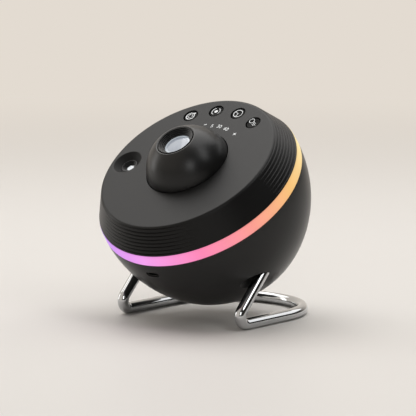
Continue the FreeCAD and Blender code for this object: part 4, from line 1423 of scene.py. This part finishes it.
    def build(self, palette: Palette, wells: Sequence[Vector]) -> None:
        """Makes the shell.

        Args:
            palette: The finishes.
            wells: Centres of the button holes.
        """
        shell = to_object(revolve(self.rows(), self.columns), "satin_top")
        combine(shell, self.posts(), Cut.JOIN)
        combine(shell, [self.dish(), *[self.button_well(at) for at in wells]], Cut.AWAY)
        smooth(shell, palette.by_slot["shell_black"], angle=26.0)
        hand_over(shell, "shell_black", "upper_shell")


@dataclass
class LowerShell:
    """Bowl with its socket opening, screw wells and the holes of the stand."""

    oval: Oval = field(default_factory=Oval)
    wall: float = SHARED.shell_wall
    seam: float = SHARED.seam
    seam_bulge: float = 0.3
    vent_count: int = 12
    vent_width: float = 1.8
    vent_in: float = 12.0
    vent_out: float = 22.0
    vent_low: float = -50.0
    vent_tall: float = 60.0
    leg_circle: float = 34.0
    leg_azimuths: tuple[float, ...] = (90.0, -30.0, -150.0)
    leg_end: float = -44.0
    shelf: float = 6.0
    boss_radius: float = 4.8
    boss_low: float = -66.5
    well_radius: float = 3.2
    well_low: float = -90.0
    port_size: Point2 = (9.44, 3.76)
    port_height: float = -15.37
    port_deep: float = 12.0
    cutter_over: float = 1.0
    rod_hole: float = 3.55
    socket_radius: float = 6.3
    columns: int = 288
    slot_steps: int = 24

    def slot(self, width: float, tall: float, length: float) -> bmesh.types.BMesh:
        """Makes a prism with round ends.

        Args:
            width: Its size along X.
            tall: Its size along Z, and the diameter of its ends.
            length: Its size along +Y, from y = 0.

        Returns:
            The closed mesh.
        """
        mesh = bmesh.new()
        end, radius, quarter = (width - tall) / 2.0, tall / 2.0, math.pi / 2.0
        ring = arc((end, 0.0), radius, quarter, -quarter, self.slot_steps)
        ring += arc((-end, 0.0), radius, 3.0 * quarter, quarter, self.slot_steps)
        base, far = [[mesh.verts.new((x, y, z)) for x, z in ring] for y in (0.0, length)]
        mesh.faces.new(base)
        mesh.faces.new(far)
        for number in range(len(ring)):
            after = (number + 1) % len(ring)
            mesh.faces.new((base[number], base[after], far[after], far[number]))
        bmesh.ops.recalc_face_normals(mesh, faces=mesh.faces)
        return mesh

    def vents(self, tree: RoundTree) -> bpy.types.Object:
        """Makes the cutter of the vents, repeated round the axis.

        From vent_low it reaches up into the hollow, so that the bowl's underside stays closed.

        Args:
            tree: Repeats the cutter.

        Returns:
            All the cutters in one.
        """
        slot = self.slot(self.vent_out - self.vent_in, self.vent_width, self.vent_tall)
        slot.transform(Matrix.Rotation(math.pi / 2.0, 4, "X"))
        one = to_object(slot, "vent_cutter", Matrix.Translation((0.0, 0.0, self.vent_low)))
        middle = (self.vent_in + self.vent_out) / 2.0
        return tree.run(one, {"Count": self.vent_count, "Radius": middle,
                              "First Angle": math.pi / self.vent_count})

    def shell(self) -> bpy.types.Object:
        """Makes the bare bowl.

        Returns:
            The bowl, with a rounded seam at its rim.
        """
        radius, top, seam = self.oval.radius, self.oval.top, self.seam
        bulge = seam * self.seam_bulge
        rim = [(radius - seam, top), (radius - bulge, top - bulge), (radius, top - seam)]
        outer = [point for point in self.oval.line(0.0) if point[1] < top - seam]
        return to_object(turned(rim + outer + self.oval.line(self.wall)[::-1], self.columns), "satin_bowl")

    def round_legs(self, name: str, radius: float, low: float, high: float) -> list[bpy.types.Object]:
        """Makes a round rod at each of the frame's legs.

        Args:
            name: The rods' name.
            radius: Their radius.
            low: Their lower end.
            high: Their upper end.

        Returns:
            The rods.
        """
        places = [Matrix.Translation(polar(self.leg_circle, azimuth)) for azimuth in self.leg_azimuths]
        return [to_object(cylinder(radius, low, high, columns=64), name, place) for place in places]

    def build(self, palette: Palette, tree: RoundTree, stand: "Stand") -> None:
        """Makes the bowl.

        Args:
            palette: The finishes.
            tree: Repeats the vents.
            stand: Gives the directions of the rod.
        """
        bowl = self.shell()
        bosses = self.round_legs("boss", self.boss_radius, self.boss_low, self.leg_end)
        wells = self.round_legs("well", self.well_radius, self.well_low, self.leg_end - self.shelf)
        lead = 3.0 * self.socket_radius
        wall = stand.relief_wall
        sleeves = stand.bars(self.socket_radius, -lead, stand.grip, self.oval)
        holes = stand.bars(self.rod_hole, -2.0 * lead, stand.grip + 2.0 * lead, self.oval)
        cup, deep = stand.relief_radius + wall, stand.relief_deep + wall
        cups = stand.bars(cup, -lead, deep, self.oval, relief=True)
        pockets = stand.bars(stand.relief_radius, -2.0 * lead, stand.relief_deep, self.oval, relief=True)
        front = Matrix.Translation((0.0, -self.oval.radius - self.cutter_over, self.port_height))
        port = to_object(self.slot(*self.port_size, self.port_deep), "port_cutter", front)
        middle = self.oval.line(self.wall / 2.0) + [(0.0, self.oval.top)]
        inside = to_object(turned(middle, self.columns), "inside")
        for piece in bosses + sleeves + cups:
            combine(piece, [inside], Cut.WITHIN, used_up=False)
        drop(inside)
        combine(bowl, bosses + cups, Cut.JOIN)
        combine(bowl, pockets, Cut.AWAY, used_up=False)
        for sleeve, pocket in zip(sleeves, pockets):
            combine(sleeve, [pocket], Cut.AWAY)
        combine(bowl, sleeves, Cut.JOIN)
        combine(bowl, [self.vents(tree), port, *wells, *holes], Cut.AWAY)
        smooth(bowl, palette.by_slot["bowl_black"], angle=26.0, exact=self.oval.normal)
        hand_over(bowl, "bowl_black", "lower_shell")


@dataclass
class LightRing:
    """Frosted band between the shells."""

    ring_radius: float = SHARED.ring_radius
    bowl_radius: float = SHARED.bowl_radius
    height: float = SHARED.ring_height
    thick: float = 4.0
    sleeve: float = 1.6
    lap: float = 2.0
    seam: float = SHARED.seam

    def build(self, palette: Palette) -> None:
        """Makes the band.

        Args:
            palette: The finishes.
        """
        sleeve_out = self.ring_radius - self.thick
        sleeve_in = sleeve_out - self.sleeve
        outline = rounded([
            (sleeve_in, -self.height - self.lap), (sleeve_out, -self.height - self.lap),
            (sleeve_out, -self.height), (self.bowl_radius, -self.height, self.seam),
            (self.ring_radius, 0.0, self.seam), (sleeve_out, 0.0), (sleeve_out, self.lap),
            (sleeve_in, self.lap)], steps=5)
        band = to_object(turned(outline, columns=360), "lit_band")
        smooth(band, palette.by_slot["light_diffuser"])
        hand_over(band, "light_diffuser", "light_ring")


# ---------------------------------------------------------------- projection
@dataclass
class Projection:
    """Dome, light trap and projection lens."""

    ball: float = 26.8
    sink: float = 5.3
    face: float = SHARED.face_height
    wall: float = 2.0
    flange: float = 3.8
    flange_thick: float = 2.0
    shell_wall: float = SHARED.shell_wall
    bore_low: float = 0.01
    mouth: float = 11.4
    mouth_round: float = 1.0
    slip: float = 0.1
    steps: int = 4
    step_fall: float = 0.75
    step_run: float = 0.72
    step_edge: float = 0.12
    baffle_drop: float = 0.5
    lens_edge: float = 3.6
    lens_crown: float = 0.6
    lens_seat: float = 1.0
    lens_rim: float = 0.02

    def __post_init__(self) -> None:
        """Works out the heights."""
        self.centre = self.face - self.sink
        self.radius = math.sqrt(self.ball ** 2 - self.sink ** 2)
        self.top = self.centre + math.sqrt(self.ball ** 2 - self.mouth ** 2)
        self.baffle_radius = self.mouth - self.slip
        self.baffle_top = self.top - self.baffle_drop
        self.opening = self.baffle_radius - self.step_run * (self.steps + 0.5)
        self.lens_top = self.baffle_top - self.step_fall * (self.steps + 1)
        self.lens_low = self.lens_top - self.lens_edge

    def build_dome(self, palette: Palette) -> None:
        """Makes the dome with its rolled mouth.

        Args:
            palette: The finishes.
        """
        under = self.face - self.shell_wall
        low = under - self.flange_thick
        soft, middle = self.mouth_round, (0.0, self.centre)
        bore, inner_radius = self.ball - self.wall, self.radius - self.wall
        roll_start = math.acos((self.mouth + soft) / (self.ball - soft))
        roll_centre = (self.mouth + soft, self.centre + (self.ball - soft) * math.sin(roll_start))
        outer = arc(middle, self.ball, math.asin(self.sink / self.ball), roll_start, steps=72)
        roll = arc(roll_centre, soft, roll_start, math.pi, steps=10)[1:]
        inner = arc(middle, bore, math.acos(self.mouth / bore), math.asin(self.bore_low / bore), steps=40)
        outline = [(inner_radius, low), (self.radius + self.flange, low),
                   (self.radius + self.flange, under), (self.radius, under)] + outer + roll
        outline += [point for point in inner if point[0] < inner_radius]
        dome = to_object(turned(outline, columns=256), "gloss_dome")
        smooth(dome, palette.by_slot["dome_black"], angle=40.0)
        hand_over(dome, "dome_black", "dome_cover")

    def build_baffle(self, palette: Palette) -> None:
        """Makes the stepped light trap.

        Args:
            palette: The finishes.
        """
        low, edge = self.baffle_top - self.step_fall * self.steps, self.step_edge
        seat = self.opening + self.lens_seat + self.slip
        first = (self.baffle_radius - self.step_run / 2.0, self.baffle_top)
        corners: list[Corner] = [(self.baffle_radius, self.lens_low),
                                 (self.baffle_radius, self.baffle_top, edge)]
        corners += stair(first, self.step_run, self.step_fall, self.steps, edge)
        corners += [(self.opening, low, edge), (self.opening, self.lens_top),
                    (seat, self.lens_top), (seat, self.lens_low)]
        baffle = to_object(turned(rounded(corners, steps=3), columns=192), "stepped_baffle")
        smooth(baffle, palette.by_slot["baffle_black"], angle=50.0)
        hand_over(baffle, "baffle_black", "lens_baffle")

    def build_lens(self, palette: Palette) -> None:
        """Makes the projection lens.

        Args:
            palette: The finishes.
        """
        radius = self.opening + self.lens_seat
        crown = self.opening - self.slip
        ball = (crown ** 2 + self.lens_crown ** 2) / (2.0 * self.lens_crown)
        centre = (0.0, self.lens_top + self.lens_crown - ball)
        outline = [(0.0, self.lens_low), (radius, self.lens_low), (radius, self.lens_top),
                   (crown + self.lens_rim, self.lens_top)]
        outline += arc(centre, ball, math.acos(crown / ball), math.pi / 2.0, steps=16)
        lens = to_object(turned(outline, columns=160), "projection_lens")
        smooth(lens, palette.by_slot["lens_glass"], angle=30.0)
        hand_over(lens, "lens_glass", "front_lens")

    def build(self, palette: Palette) -> None:
        """Makes all three pieces.

        Args:
            palette: The finishes.
        """
        self.build_dome(palette)
        self.build_baffle(palette)
        self.build_lens(palette)


@dataclass
class StarLaser:
    """Stepped bezel and window in the dish."""

    low: float = SHARED.laser_low
    outer: float = 5.1
    height: float = 3.6
    steps: int = 3
    step: float = 0.6
    edge: float = 0.1
    window: float = 3.4
    window_thick: float = 1.0
    slip: float = 0.1

    def build(self, palette: Palette) -> None:
        """Makes both pieces.

        Args:
            palette: The finishes.
        """
        place = Matrix.Translation(polar(SHARED.laser_circle, SHARED.laser_azimuth))
        seat = self.low + self.window_thick + self.step
        top = self.low + self.height
        wide, bore = self.window + self.slip, self.window - self.step
        corners: list[Corner] = [(wide, self.low), (self.outer, self.low), (self.outer, top, self.edge)]
        corners += stair((self.outer - self.step, top), self.step, self.step, self.steps, self.edge)
        corners += [(bore, top - self.step * self.steps, self.edge), (bore, seat), (wide, seat)]
        bezel = to_object(turned(rounded(corners, steps=3), columns=128), "laser_surround", place)
        smooth(bezel, palette.by_slot["baffle_black"], angle=50.0)
        hand_over(bezel, "baffle_black", "laser_bezel")
        pane = rounded([(0.0, self.low + self.step), (self.window, self.low + self.step),
                        (self.window, seat, self.edge), (0.0, seat)], steps=3)
        glass = to_object(turned(pane, columns=96), "laser_pane", place)
        smooth(glass, palette.window, angle=30.0)
        hand_over(glass, "lens_glass", "laser_window")


# ---------------------------------------------------------------- buttons
@dataclass
class Ink:
    """Flat printed marks, one ink film thick and in fine pieces that can follow a hollow."""

    film: float = 0.03
    lift: float = 0.012
    dot: float = 0.01
    ring_bands: int = 3
    ring_piece: float = 7.5
    bar_pieces: int = 6

    def slab(self, lines: Sequence[Sequence[Vector]], whole: bool = False) -> bpy.types.Object:
        """Gives a flat net of points its thickness.

        Args:
            lines: Lines of points side by side, all equally long.
            whole: Whether the lines are closed rings.

        Returns:
            The closed mark.
        """
        mesh = bmesh.new()
        low, high = [[[mesh.verts.new(point + Vector((0.0, 0.0, height))) for point in line]
                      for line in lines] for height in (-self.film, self.film)]
        count, last = len(lines[0]), len(lines) - 1
        columns = range(count if whole else count - 1)
        for layer in (low, high):
            for near, far in zip(layer, layer[1:]):
                for column in columns:
                    beside = (column + 1) % count
                    mesh.faces.new((near[column], near[beside], far[beside], far[column]))
        for under, over in ((low[0], high[0]), (low[last], high[last])):
            for column in columns:
                beside = (column + 1) % count
                mesh.faces.new((under[column], under[beside], over[beside], over[column]))
        for column in () if whole else (0, count - 1):
            for band in range(last):
                mesh.faces.new((low[band][column], low[band + 1][column],
                                high[band + 1][column], high[band][column]))
        bmesh.ops.recalc_face_normals(mesh, faces=mesh.faces)
        return to_object(mesh, "mark")

    def ring(self, inner: float, outer: float, at: Point2 = (0.0, 0.0), start: float = 0.0,
             sweep: float = 360.0) -> bpy.types.Object:
        """Draws a ring or an arc.

        Args:
            inner: Inner radius.
            outer: Outer radius.
            at: Centre.
            start: First angle in degrees.
            sweep: Angle that it covers.

        Returns:
            The mark.
        """
        whole = sweep >= 360.0
        pieces = max(3, int(sweep / self.ring_piece))
        columns = pieces if whole else pieces + 1
        centre = Vector((*at, 0.0))
        radii = [inner + (outer - inner) * band / self.ring_bands for band in range(self.ring_bands + 1)]
        angles = [start + sweep * column / pieces for column in range(columns)]
        return self.slab([[polar(radius, angle) + centre for angle in angles] for radius in radii], whole)

    def disc(self, radius: float, at: Point2 = (0.0, 0.0)) -> bpy.types.Object:
        """Draws a dot."""
        return self.ring(self.dot, radius, at)

    def bar(self, start: Point2, end: Point2, width: float) -> bpy.types.Object:
        """Draws a straight bar.

        Args:
            start: Middle of its first end.
            end: Middle of its last end.
            width: Its width.

        Returns:
            The mark.
        """
        first, last = Vector((*start, 0.0)), Vector((*end, 0.0))
        side = Vector((first.y - last.y, last.x - first.x, 0.0)).normalized() * (width / 2.0)
        return self.slab([[first.lerp(last, column / self.bar_pieces) + side * way
                           for column in range(self.bar_pieces + 1)] for way in (-1, 1)])


class Sign(Enum):
    """Printed signs of the four buttons."""

    SCENES = "mode_button"
    BRIGHTNESS = "brightness_button"
    TIMER = "timer_button"
    SPEED = "speed_button"


@dataclass
class ButtonRow:
    """Four push buttons along the rim, with their printed signs."""

    circle: float = 46.7
    middle: float = 88.0
    step: float = 21.5
    radius: float = 4.45
    top: float = 15.65
    crown: float = 0.3
    rim: float = 1.2
    edge: float = 0.5
    rim_round: float = 1.5
    hollow_round: float = 2.5
    low: float = 9.6
    flange: float = 5.6
    flange_low: float = 12.3
    flange_top: float = 13.4
    flange_edge: float = 0.15
    stem: float = 1.6
    hollow_share: float = 0.4
    ink: Ink = field(default_factory=Ink)
    sign_shift: Point2 = (-0.4, 0.3)
    blades: int = 6

    def __post_init__(self) -> None:
        """Works out the hollow of the caps."""
        self.hollow = self.radius * self.hollow_share
        self.bottom = self.top - self.crown
        self.shoulder = self.top - self.crown / 3.0

    def places(self) -> list[Vector]:
        """Centres of the buttons, from left to right."""
        return [polar(self.circle, self.middle + ((len(Sign) - 1) / 2.0 - number) * self.step)
                for number in range(len(Sign))]

    def cap_height(self, across: float) -> float:
        """Height of the hollow cap.

        Args:
            across: Distance from the cap's axis.

        Returns:
            The height.
        """
        outer = self.radius - self.rim
        if across <= self.hollow:
            return self.bottom
        if across <= outer:
            share = (across - self.hollow) / (outer - self.hollow)
            return self.bottom + share * (self.shoulder - self.bottom)
        share = min(1.0, (across - outer) / (self.rim - self.edge))
        return self.shoulder + share * (self.top - self.shoulder)

    def marks(self, sign: Sign, tree: RoundTree) -> list[bpy.types.Object]:
        """Draws the flat marks of a sign about the origin, with +Y upwards.

        Args:
            sign: Which sign.
            tree: Repeats a mark round a circle.

        Returns:
            The marks.
        """
        ring, disc, bar = self.ink.ring, self.ink.disc, self.ink.bar
        if sign is Sign.SCENES:
            blade = bar(start=(1.25, 0.0), end=(1.75, 1.95), width=0.35)
            return [ring(inner=2.5, outer=3.0),
                    tree.run(blade, {"Count": self.blades, "Radius": 0.0, "First Angle": 0.0}),
                    disc(radius=0.7, at=(3.0, 1.3))]
        if sign is Sign.BRIGHTNESS:
            return [disc(radius=1.2),
                    ring(inner=2.55, outer=3.0, start=105.0, sweep=142.5),
                    ring(inner=2.55, outer=3.0, start=-48.0, sweep=105.0)]
        if sign is Sign.TIMER:
            return [ring(inner=2.75, outer=3.2),
                    bar(start=(0.15, 0.0), end=(-2.7, 0.85), width=0.4),
                    bar(start=(0.0, 0.2), end=(0.1, -2.7), width=0.4)]
        return [ring(inner=1.45, outer=1.85, at=(-2.4, 0.1)),
                bar(start=(-0.4, 0.6), end=(2.0, 0.6), width=0.3),
                bar(start=(-0.2, -0.3), end=(3.3, -0.3), width=0.35),
                bar(start=(0.2, -1.3), end=(2.4, -1.3), width=0.3)]

    def build_sign(self, sign: Sign, at: Vector, palette: Palette, tree: RoundTree) -> None:
        """Prints one sign on its cap.

        Args:
            sign: Which sign.
            at: The button's centre.
            palette: The finishes.
            tree: Repeats marks.
        """
        whole = bmesh.new()
        for mark in self.marks(sign, tree):
            pour(whole, mark)
        for vert in whole.verts:
            vert.co.x += self.sign_shift[0]
            vert.co.y += self.sign_shift[1]
            vert.co.z += self.cap_height(math.hypot(vert.co.x, vert.co.y)) + self.ink.lift
        turn = math.atan2(at.y, at.x) - math.pi / 2.0
        whole.transform(Matrix.Translation(at) @ Matrix.Rotation(turn, 4, "Z"))
        made = to_object(whole, sign.value.replace("button", "sign"))
        smooth(made, palette.print_white, angle=40.0)
        hand_over(made, "button_black", body=sign.value)

    def build(self, palette: Palette, tree: RoundTree) -> None:
        """Makes the caps and their signs.

        Args:
            palette: The finishes.
            tree: Repeats marks.
        """
        outline = rounded([
            (0.0, self.low), (self.stem, self.low), (self.stem, self.flange_low),
            (self.flange, self.flange_low), (self.flange, self.flange_top, self.flange_edge),
            (self.radius, self.flange_top), (self.radius, self.top, self.edge),
            (self.radius - self.rim, self.shoulder, self.rim_round),
            (self.hollow, self.bottom, self.hollow_round), (0.0, self.bottom)], steps=6)
        for sign, at in zip(Sign, self.places()):
            name = sign.value.replace("button", "cap")
            cap = to_object(turned(outline, columns=96), name, Matrix.Translation(at))
            smooth(cap, palette.by_slot["button_black"], angle=40.0)
            hand_over(cap, "button_black", sign.value, body=sign.value)
            self.build_sign(sign, at, palette, tree)


@dataclass(frozen=True)
class Mark:
    """Numerals, or a sign of strokes, at a place on the face."""

    radius: float
    azimuth: float
    words: str = ""
    long: float = 0.0
    wide: float = 0.0


@dataclass
class IndicatorPrint:
    """Row of small printed marks over the indicator lamps: minus, numerals, plus."""

    face: float = SHARED.face_height
    size: float = 3.8
    weight: float = 0.03
    curve_steps: int = 3
    numerals: tuple[Mark, ...] = (Mark(32.9, 93.1, "5"), Mark(33.2, 83.3, "30"), Mark(32.9, 72.0, "60"))
    minus: Mark = Mark(34.4, 102.5, long=2.0, wide=0.55)
    plus: Mark = Mark(33.6, 55.5, long=2.5, wide=0.5)
    ink: Ink = field(default_factory=Ink)

    def place(self, mark: Mark) -> Matrix:
        """Where a mark lies on the face, its top turned outwards."""
        at = Matrix.Translation(polar(mark.radius, mark.azimuth, self.face + self.ink.lift))
        return at @ Matrix.Rotation(math.radians(mark.azimuth - 90.0), 4, "Z")

    def numeral(self, mark: Mark) -> bpy.types.Object:
        """Draws flat bold numerals.

        Args:
            mark: The numerals and their place.

        Returns:
            The numerals in their place.
        """
        curve = bpy.data.curves.new("numerals", "FONT")
        curve.body = mark.words
        curve.size = self.size
        curve.align_x = "CENTER"
        curve.align_y = "CENTER"
        curve.extrude = self.ink.film
        curve.offset = self.weight
        curve.resolution_u = self.curve_steps
        letters = bpy.data.objects.new("numerals", curve)
        bpy.context.scene.collection.objects.link(letters)
        bpy.context.view_layer.update()
        data = bpy.data.meshes.new_from_object(letters.evaluated_get(bpy.context.evaluated_depsgraph_get()))
        bpy.data.objects.remove(letters)
        bpy.data.curves.remove(curve)
        data.transform(self.place(mark))
        return bpy.data.objects.new("numerals", data)

    def stroke(self, mark: Mark, upright: bool = False) -> bpy.types.Object:
        """Draws one stroke of a sign.

        Args:
            mark: The sign and its place.
            upright: Whether the stroke stands.

        Returns:
            The stroke in its place.
        """
        half = mark.long / 2.0
        end = (0.0, half) if upright else (half, 0.0)
        made = self.ink.bar((-end[0], -end[1]), end, mark.wide)
        made.data.transform(self.place(mark))
        return made

    def build(self, palette: Palette) -> None:
        """Prints the row.

        Args:
            palette: The finishes.
        """
        whole = bmesh.new()
        strokes = [self.stroke(self.minus), self.stroke(self.plus), self.stroke(self.plus, upright=True)]
        for piece in [*[self.numeral(mark) for mark in self.numerals], *strokes]:
            pour(whole, piece)
        row = to_object(whole, "indicator_print")
        smooth(row, palette.print_white, angle=40.0)
        hand_over(row, "shell_black")


# ---------------------------------------------------------------- stand
@dataclass
class Stand:
    """One bent chrome rod: two struts, two feet and the rear loop."""

    rod_radius: float = 3.5
    spacing: float = 92.0
    ring_height: float = 84.0
    ring_behind: float = -11.641
    rise: float = 45.3
    ahead: float = 22.7
    front_bend: float = 5.0
    rear_bend: float = 44.0
    rear_reach: float = 74.2
    grip: float = 24.0
    relief_radius: float = 5.6
    relief_shift: Point2 = (1.9, 1.9)
    relief_deep: float = 8.0
    relief_wall: float = 2.0
    sides: int = 56
    bend_steps: int = 40
    near_enough: float = 1e-7

    def entry(self, oval: Oval) -> float:
        """Finds where a strut meets the bowl.

        Args:
            oval: The bowl's section.

        Returns:
            Distance up the strut from its front corner.
        """
        start, rise = self.corner(1)
        into_body = BODY.matrix.inverted()
        outside, inside = 0.0, self.ring_height / 2.0 / rise.z
        while inside - outside > self.near_enough:
            middle = (inside + outside) / 2.0
            if oval.outside(into_body @ ((start + rise * middle) * MM)) > 0.0:
                outside = middle
            else:
                inside = middle
        return inside

    def corner(self, side: int) -> tuple[Vector, Vector]:
        """Works out one side's front corner.

        Args:
            side: -1 on the left, 1 on the right.

        Returns:
            The corner in millimetres over the table, and the strut's direction.
        """
        angle = math.radians(self.rise)
        start = Vector((side * self.spacing / 2.0, self.ring_behind - self.ahead, self.rod_radius))
        return start, Vector((0.0, math.cos(angle), math.sin(angle)))

    def bars(self, radius: float, first: float, last: float, oval: Oval,
             relief: bool = False) -> list[bpy.types.Object]:
        """Round bars along both struts, in body axes.

        Args:
            radius: Their radius.
            first: Where they start, measured from the bowl's surface.
            last: Where they end.
            oval: The bowl's section.
            relief: Whether they lie on the axes of the pockets instead.

        Returns:
            The bars.
        """
        made = []
        for side in (-1, 1):
            start, rise = self.corner(side)
            place = start + rise * self.entry(oval)
            if relief:
                place += Vector((-side * self.relief_shift[0], 0.0, 0.0))
                place += Vector((0.0, -rise.z, rise.y)) * self.relief_shift[1]
            turn = rise.to_track_quat("Z", "Y").to_matrix().to_4x4()
            bar = cylinder(radius, first, last, columns=96)
            bar.transform(Matrix.Scale(MM, 4) @ Matrix.Translation(place) @ turn)
            made.append(to_object(bar, "rod_tool", BODY.matrix.inverted()))
        return made

    def build(self, palette: Palette, tree: RodTree, oval: Oval) -> None:
        """Makes the rod.

        Args:
            palette: The finishes.
            tree: Sweeps and bends the rod.
            oval: The bowl's section.
        """
        (left, rise), (right, _) = self.corner(-1), self.corner(1)
        up = rise * (self.entry(oval) + self.grip)
        rear = self.ring_behind + self.rear_reach
        rear_left, rear_right = [Vector((side.x, rear, self.rod_radius)) for side in (left, right)]
        points = [left + up, left, rear_left, rear_right, right, right + up]
        bends = [0.0, self.front_bend, self.rear_bend, self.rear_bend, self.front_bend, 0.0]
        data = bpy.data.meshes.new("rod_path")
        data.from_pydata([tuple(point * MM) for point in points],
                         [(number, number + 1) for number in range(len(points) - 1)], [])
        attribute = data.attributes.new("bend", "FLOAT", "POINT")
        attribute.data.foreach_set("value", [bend * MM for bend in bends])
        rod = bpy.data.objects.new("chrome_rod", data)
        bpy.context.scene.collection.objects.link(rod)
        chrome = palette.by_slot["stand_chrome"]
        tree.run(rod, {"Rod Radius": self.rod_radius * MM, "Sides": self.sides,
                       "Bend Steps": self.bend_steps, "Material": chrome})
        rod.data.shade_smooth()
        rod.data.set_sharp_from_angle(angle=math.radians(40.0))
        rod.data.materials.clear()
        rod.data.materials.append(chrome)
        hand_over(rod, "stand_chrome", "stand")


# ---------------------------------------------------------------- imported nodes
class Inside:
    """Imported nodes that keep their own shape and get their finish."""

    def dress(self, nodes: dict[str, bpy.types.Object], record: dict[str, Any], palette: Palette) -> None:
        """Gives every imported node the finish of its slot.

        Args:
            nodes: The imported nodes.
            record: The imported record.
            palette: The finishes.
        """
        slots = {row["node"]: row["material_slot"] for row in record["subparts"]}
        for name, node in nodes.items():
            finish = palette.by_slot[slots[name]]
            if node.data.materials:
                for number in range(len(node.data.materials)):
                    node.data.materials[number] = finish
            else:
                node.data.materials.append(finish)
        log.info("%d packed nodes dressed", len(nodes))


# ---------------------------------------------------------------- studio
@dataclass
class Softbox:
    """Rectangular soft light aimed at the projector."""

    name: str
    place: Point3
    size: Point2
    power: float

    def build(self, target: Vector) -> None:
        """Sets the light up.

        Args:
            target: The point that it faces.
        """
        light = bpy.data.lights.new(self.name, "AREA")
        light.shape = "RECTANGLE"
        light.size, light.size_y = self.size
        light.energy = self.power
        made = bpy.data.objects.new(self.name, light)
        made.location = self.place
        made.rotation_mode = "QUATERNION"
        made.rotation_quaternion = (target - made.location).to_track_quat("-Z", "Y")
        bpy.context.scene.collection.objects.link(made)


@dataclass
class Studio:
    """Plain pale table, soft lights and the camera."""

    unit: float = SHARED.ring_radius * MM
    shift: Point2 = (0.0996, -0.2407)
    distance: float = 25.0
    lens: float = 232.4
    sensor: float = 36.0
    clip: Point2 = (0.05, 60.0)
    azimuth: float = 39.12
    elevation: float = 7.53
    table: Colour = srgb(223, 219, 214)
    table_radius: float = 14.0
    backdrop: Colour = srgb(227, 219, 209)
    dark_side: float = 10.0
    dark_share: float = 0.05
    dark_from: float = 0.42
    dark_full: float = 0.72
    ambient: float = 0.30
    boxes: tuple[Softbox, ...] = (
        Softbox("overhead", place=(-0.10, 0.30, 1.45), size=(1.7, 1.7), power=21.0),
        Softbox("sheen", place=(-0.80, 0.10, 1.00), size=(0.8, 0.8), power=3.0),
        Softbox("left", place=(-1.40, -0.45, 0.32), size=(0.35, 0.8), power=2.5),
        Softbox("right", place=(1.05, -0.13, 1.10), size=(0.45, 0.7), power=3.2),
        Softbox("front", place=(0.90, -1.15, 0.52), size=(0.40, 0.5), power=2.8),
        Softbox("behind", place=(0.48, 1.32, 0.74), size=(1.05, 0.55), power=2.6),
    )

    def build_camera(self) -> None:
        """Sets the camera up."""
        side, rise = math.radians(self.azimuth), math.radians(self.elevation)
        right = Vector((math.cos(side), math.sin(side), 0.0))
        back = Vector((math.sin(side) * math.cos(rise), -math.cos(side) * math.cos(rise), math.sin(rise)))
        up = back.cross(right)
        data = bpy.data.cameras.new("camera")
        data.sensor_width = self.sensor
        data.lens = self.lens
        data.clip_start, data.clip_end = self.clip
        camera = bpy.data.objects.new("camera", data)
        turn = Matrix((right, up, back)).transposed().to_4x4()
        offset = right * self.shift[0] + up * self.shift[1] + back * self.distance
        camera.matrix_world = Matrix.Translation(BODY.centre + offset * self.unit) @ turn
        bpy.context.scene.collection.objects.link(camera)
        bpy.context.scene.camera = camera

    def build_table(self) -> None:
        """Lays the table."""
        mesh = bmesh.new()
        bmesh.ops.create_circle(mesh, cap_ends=True, radius=self.table_radius, segments=96)
        table = to_object(mesh, "table")
        beyond = tuple(polar(1.0, self.azimuth + 90.0))
        table.data.materials.append(Tabletop("pale_table", self.table, self.backdrop, beyond).material())

    def build_world(self) -> None:
        """Sets the even light and the pale backdrop, which darkens towards one side."""
        graph = Graph("studio", world=True)
        direction = graph.channel("ShaderNodeTexCoord", "Generated")
        toward = graph.measure("DOT_PRODUCT", direction, polar(1.0, self.dark_side))
        dark = shaded(self.backdrop, self.dark_share)
        shade = graph.ramp(toward * 0.5 + 0.5, ((0.0, self.backdrop), (self.dark_from, self.backdrop),
                                                (self.dark_full, dark), (1.0, dark)))
        camera, others = graph.seen()
        strength = self.ambient + (1.0 - self.ambient) * (camera + others)
        back = graph.node("ShaderNodeBackground", None, {"Color": shade, "Strength": strength})
        bpy.context.scene.world = graph.close(back)

    def build(self) -> None:
        """Sets everything up."""
        self.build_camera()
        self.build_table()
        self.build_world()
        for box in self.boxes:
            box.build(BODY.centre)
        bpy.context.scene.view_settings.view_transform = "Standard"
        log.info("studio ready")


def main() -> None:
    """Dresses the projector and sets up its studio."""
    logging.basicConfig(level=logging.INFO, format="%(name)s: %(message)s")
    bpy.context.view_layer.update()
    palette = Palette()
    repeat = RoundTree()
    Studio().build()
    Inside().dress(frame["nodes"], frame["record"], palette)
    stand = Stand()
    buttons = ButtonRow()
    UpperShell().build(palette, buttons.places())
    lower = LowerShell()
    lower.build(palette, repeat, stand)
    LightRing().build(palette)
    Projection().build(palette)
    StarLaser().build(palette)
    buttons.build(palette, repeat)
    IndicatorPrint().build(palette)
    stand.build(palette, RodTree(), lower.oval)


if __name__ == "__main__":
    main()
